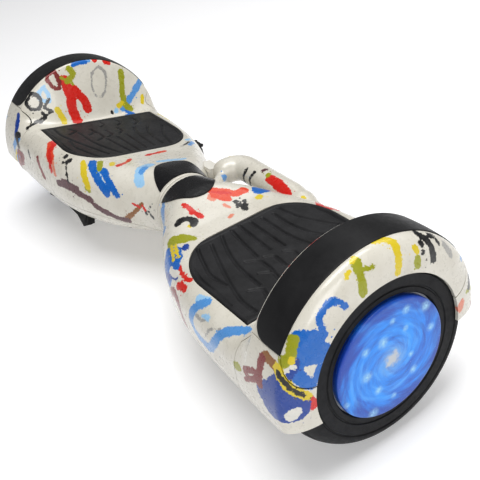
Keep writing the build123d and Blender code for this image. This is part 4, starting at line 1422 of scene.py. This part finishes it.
print("printed finish has", len(printed.node_tree.nodes), "nodes")

# %% [markdown]
# Rubber, satin plastic and metals
# --------------------------------
# The other finishes share one recipe with different numbers: a colour that drifts a little, a
# roughness that drifts with it, and a grain. Rubber has a strong fine grain and dusty patches
# here and there; metals have scratches, made from noise stretched a long way in one direction.

# %% Finishes for the plain pieces
PLAIN = {
    # finish: colour, second colour, metal, roughness, grain per metre, grain height, stretch
    "strip_black": ((0.012, 0.012, 0.013), (0.020, 0.020, 0.021), 0.0, 0.42, 1700.0, 0.10, 1.0),
    "trim_black": ((0.010, 0.010, 0.011), (0.016, 0.016, 0.017), 0.0, 0.26, 1300.0, 0.04, 1.0),
    "pad_rubber": ((0.017, 0.017, 0.018), (0.032, 0.032, 0.034), 0.0, 0.50, 1900.0, 0.35, 1.0),
    "feet_rubber": ((0.012, 0.012, 0.012), (0.03, 0.03, 0.03), 0.0, 0.80, 900.0, 0.5, 1.0),
    "tyre_rubber": ((0.007, 0.007, 0.008), (0.017, 0.017, 0.018), 0.0, 0.58, 1100.0, 0.35, 1.0),
    "cast_alloy": ((0.50, 0.51, 0.53), (0.40, 0.41, 0.42), 1.0, 0.50, 1100.0, 0.15, 1.0),
    "steel": ((0.56, 0.57, 0.59), (0.44, 0.45, 0.47), 1.0, 0.28, 500.0, 0.15, 9.0),
    "zinc_screw": ((0.05, 0.05, 0.055), (0.09, 0.09, 0.10), 1.0, 0.40, 1200.0, 0.2, 1.0),
    "magnet": ((0.45, 0.45, 0.47), (0.35, 0.35, 0.36), 1.0, 0.30, 800.0, 0.1, 1.0),
    "winding": ((0.55, 0.24, 0.08), (0.35, 0.13, 0.04), 1.0, 0.38, 900.0, 0.6, 14.0),
    "board": ((0.01, 0.17, 0.06), (0.02, 0.09, 0.04), 0.0, 0.40, 700.0, 0.2, 1.0),
    "battery_wrap": ((0.02, 0.13, 0.42), (0.015, 0.09, 0.32), 0.0, 0.33, 160.0, 0.3, 1.0),
    "bush_plastic": ((0.74, 0.72, 0.66), (0.66, 0.64, 0.58), 0.0, 0.45, 900.0, 0.1, 1.0),
    "ring_white": ((0.66, 0.66, 0.67), (0.56, 0.57, 0.59), 0.35, 0.24, 900.0, 0.05, 1.0),
    "switch_metal": ((0.52, 0.53, 0.55), (0.42, 0.43, 0.45), 1.0, 0.33, 700.0, 0.12, 7.0),
    "cover_rubber": ((0.015, 0.015, 0.015), (0.035, 0.035, 0.035), 0.0, 0.70, 1300.0, 0.3, 1.0),
}


def plain_finish(name, first, second, metal, rough, grain, depth, stretch):
    """One row of the table as a material; a dark finish reflects less."""
    material, shader, add, put, place = recipe(name)
    drift = spread(add, noise(add, place, 55.0, 5.0), 0.32, 0.72, 0.0, 1.0)
    put(shader, {"Base Color": blend_of(add, drift, rgb(first), rgb(second)), "Metallic": metal,
                 "Specular IOR Level": 0.5 if max(first) > 0.04 else 0.28})
    wear = spread(add, noise(add, place, 260.0, 5.0, 0.65), 0.3, 0.75, rough - 0.07, rough + 0.12)
    along = add("Mapping", {"Vector": place, "Scale": (1.0 / stretch, 1.0, 1.0)}).outputs[0]
    bump = add("Bump", {"Strength": depth, "Distance": 0.0002, "Height": noise(add, along, grain, 3.0)})
    put(shader, {"Roughness": wear, "Normal": bump.outputs[0]})
    return material


finishes = {name: plain_finish(name, *values) for name, values in PLAIN.items()}
finishes["shell_print"] = printed
print(len(finishes), "finishes")

# %% [markdown]
# Swirl on the hub caps
# ---------------------
# The cap carries a blue spiral like a galaxy. In the shader, the angle round the axle is turned
# further the closer a point lies to the centre, so a plain noise becomes curved arms. A pale
# core, a dark rim and a few soft pale specks finish it. The specks are kept in the mesh, at
# the places listed below, as a glow that fades with distance.

# %% Hub cap finish
SPECKS = ((-5, 0.68), (-24, 0.80), (-50, 0.90), (-35, 0.50), (48, 0.62), (95, 0.48), (110, 0.94),
          (145, 0.52), (152, 0.92), (-110, 0.38), (-140, 0.60), (20, 0.42), (178, 0.72), (-80, 0.78))


def keep_specks(obj, centre, swing):
    """Writes the specks' glow into the cap's mesh: 1 on a speck, fading with distance."""
    glow = []
    for vert in obj.data.vertices:
        y, z = (vert.co.y - centre.y) / MM, (vert.co.z - centre.z) / MM
        light = 0.0
        for k, (turn, share) in enumerate(SPECKS):
            a = math.radians(turn) + swing
            reach = HUB_CAP_R * share
            far = math.hypot(y + reach * math.sin(a), z - reach * math.cos(a))
            light = max(light, math.exp(-(far / (2.3 + 0.9 * (k % 3))) ** 2))
        glow.append(light)
    obj.data.attributes.new("speck", "FLOAT", "POINT").data.foreach_set("value", glow)


def swirl_finish(name, centre):
    """The cap's blue spiral, centred on the axle."""
    material, shader, add, put, place = recipe(name)
    spot = add("Mapping", {"Vector": place, "Location": (0.0, -centre.y, -centre.z)}).outputs[0]
    parts = add("SeparateXYZ", {0: spot})
    y, z = parts.outputs[1], parts.outputs[2]
    flat = add("CombineXYZ", {1: y, 2: z}).outputs[0]
    from_axle = add("VectorMath", {0: flat}, operation="LENGTH").outputs["Value"]
    radius = sum_of(add, from_axle, HUB_CAP_R * MM, "DIVIDE")
    turn = sum_of(add, z, y, "ARCTAN2")
    spiral = sum_of(add, sum_of(add, radius, 0.12), math.e, "LOGARITHM")
    curl = sum_of(add, spiral, -2.1, "MULTIPLY")
    turn = sum_of(add, turn, curl)
    across = sum_of(add, turn, 0.0, "COSINE")
    up = sum_of(add, turn, 0.0, "SINE")
    arms = add("CombineXYZ", {0: across, 1: up, 2: sum_of(add, radius, 1.5, "MULTIPLY")}).outputs[0]
    bands = add("CombineXYZ", {0: across, 1: up, 2: sum_of(add, radius, 11.0, "MULTIPLY")}).outputs[0]
    arm = noise(add, arms, 1.7, 6.0, 0.6)
    band = noise(add, bands, 0.9, 5.0, 0.6)
    colour = blend_of(add, spread(add, arm, 0.36, 0.62, 0.0, 1.0), (0.008, 0.13, 0.62, 1),
                      (0.012, 0.29, 0.88, 1))
    colour = blend_of(add, spread(add, band, 0.50, 0.72, 0.0, 0.75), colour, (0.10, 0.42, 0.92, 1))
    colour = blend_of(add, spread(add, band, 0.46, 0.30, 0.0, 0.75), colour, (0.006, 0.075, 0.44, 1))
    edge = sum_of(add, radius, spread(add, arm, 0.3, 0.7, 0.16, -0.16))
    colour = blend_of(add, spread(add, edge, 0.72, 1.02, 0.0, 0.85, True), colour, (0.010, 0.05, 0.36, 1))
    haze = sum_of(add, spread(add, radius, 0.05, 0.38, 0.85, 0.0, True),
                  spread(add, band, 0.3, 0.6, 0.55, 1.0), "MULTIPLY")
    colour = blend_of(add, haze, colour, (0.20, 0.42, 0.74, 1))
    ragged = spread(add, noise(add, place, 210.0, 3.0), 0.3, 0.7, -0.05, 0.05)
    core = spread(add, sum_of(add, radius, ragged), 0.07, 0.17, 0.95, 0.0, True)
    colour = blend_of(add, core, colour, (0.52, 0.54, 0.55, 1))
    light = add("Attribute", attribute_name="speck").outputs["Fac"]
    grit = spread(add, noise(add, place, 520.0, 3.0), 0.3, 0.6, 0.35, 0.95)
    glow = sum_of(add, spread(add, light, 0.1, 0.9, 0.0, 1.0), grit, "MULTIPLY")
    colour = blend_of(add, glow, colour, (0.34, 0.62, 0.82, 1))
    stars = spread(add, noise(add, place, 1700.0, 1.0), 0.71, 0.76, 0.0, 0.5)
    colour = blend_of(add, stars, colour, (0.5, 0.7, 0.9, 1))
    bump = add("Bump", {"Strength": 0.03, "Distance": 0.0002, "Height": noise(add, place, 700.0, 2.0)})
    wear = spread(add, noise(add, place, 300.0, 4.0), 0.3, 0.7, 0.30, 0.42)
    put(shader, {"Base Color": colour, "Roughness": wear, "Coat Weight": 0.25, "Coat Roughness": 0.15,
                 "Normal": bump.outputs[0]})
    return material


for side in SIDES:
    centre = Vector((0, 0, AXLE_Z * MM))
    if side == "left":
        centre = LEFT @ centre
    keep_specks(caps[side], centre, REST_TWIST if side == "left" else 0.0)
    caps[side].data.materials.clear()
    caps[side].data.materials.append(swirl_finish("swirl cap " + side, centre))
print("hub caps finished")

# %% [markdown]
# Giving every piece its finish
# -----------------------------
# New pieces know the record's material slot they follow, and the record lists the slot of each
# CAD node, so one loop finishes them all. A CAD node's mesh is left alone: its object's slot
# takes the material. Only the guide beside the handle takes another slot's finish.

# %% Finish the rest
slot_of = {row["node"]: row["material_slot"] for row in frame["record"]["subparts"]}
slot_of["handle_guide"] = "bush_plastic"    # a plain cream moulding, like the shells beside it
finished = 0
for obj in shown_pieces():
    if "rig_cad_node" in obj:
        finish = finishes[slot_of[obj["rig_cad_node"]]]
        for place_for in obj.material_slots:
            place_for.link = "OBJECT"
            place_for.material = finish
        if not obj.material_slots:
            obj.data.materials.append(finish)
        finished += 1
    elif obj.get("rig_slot") in finishes and not obj.data.materials:
        obj.data.materials.append(finishes[obj["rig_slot"]])
        finished += 1
print(finished, "pieces finished")
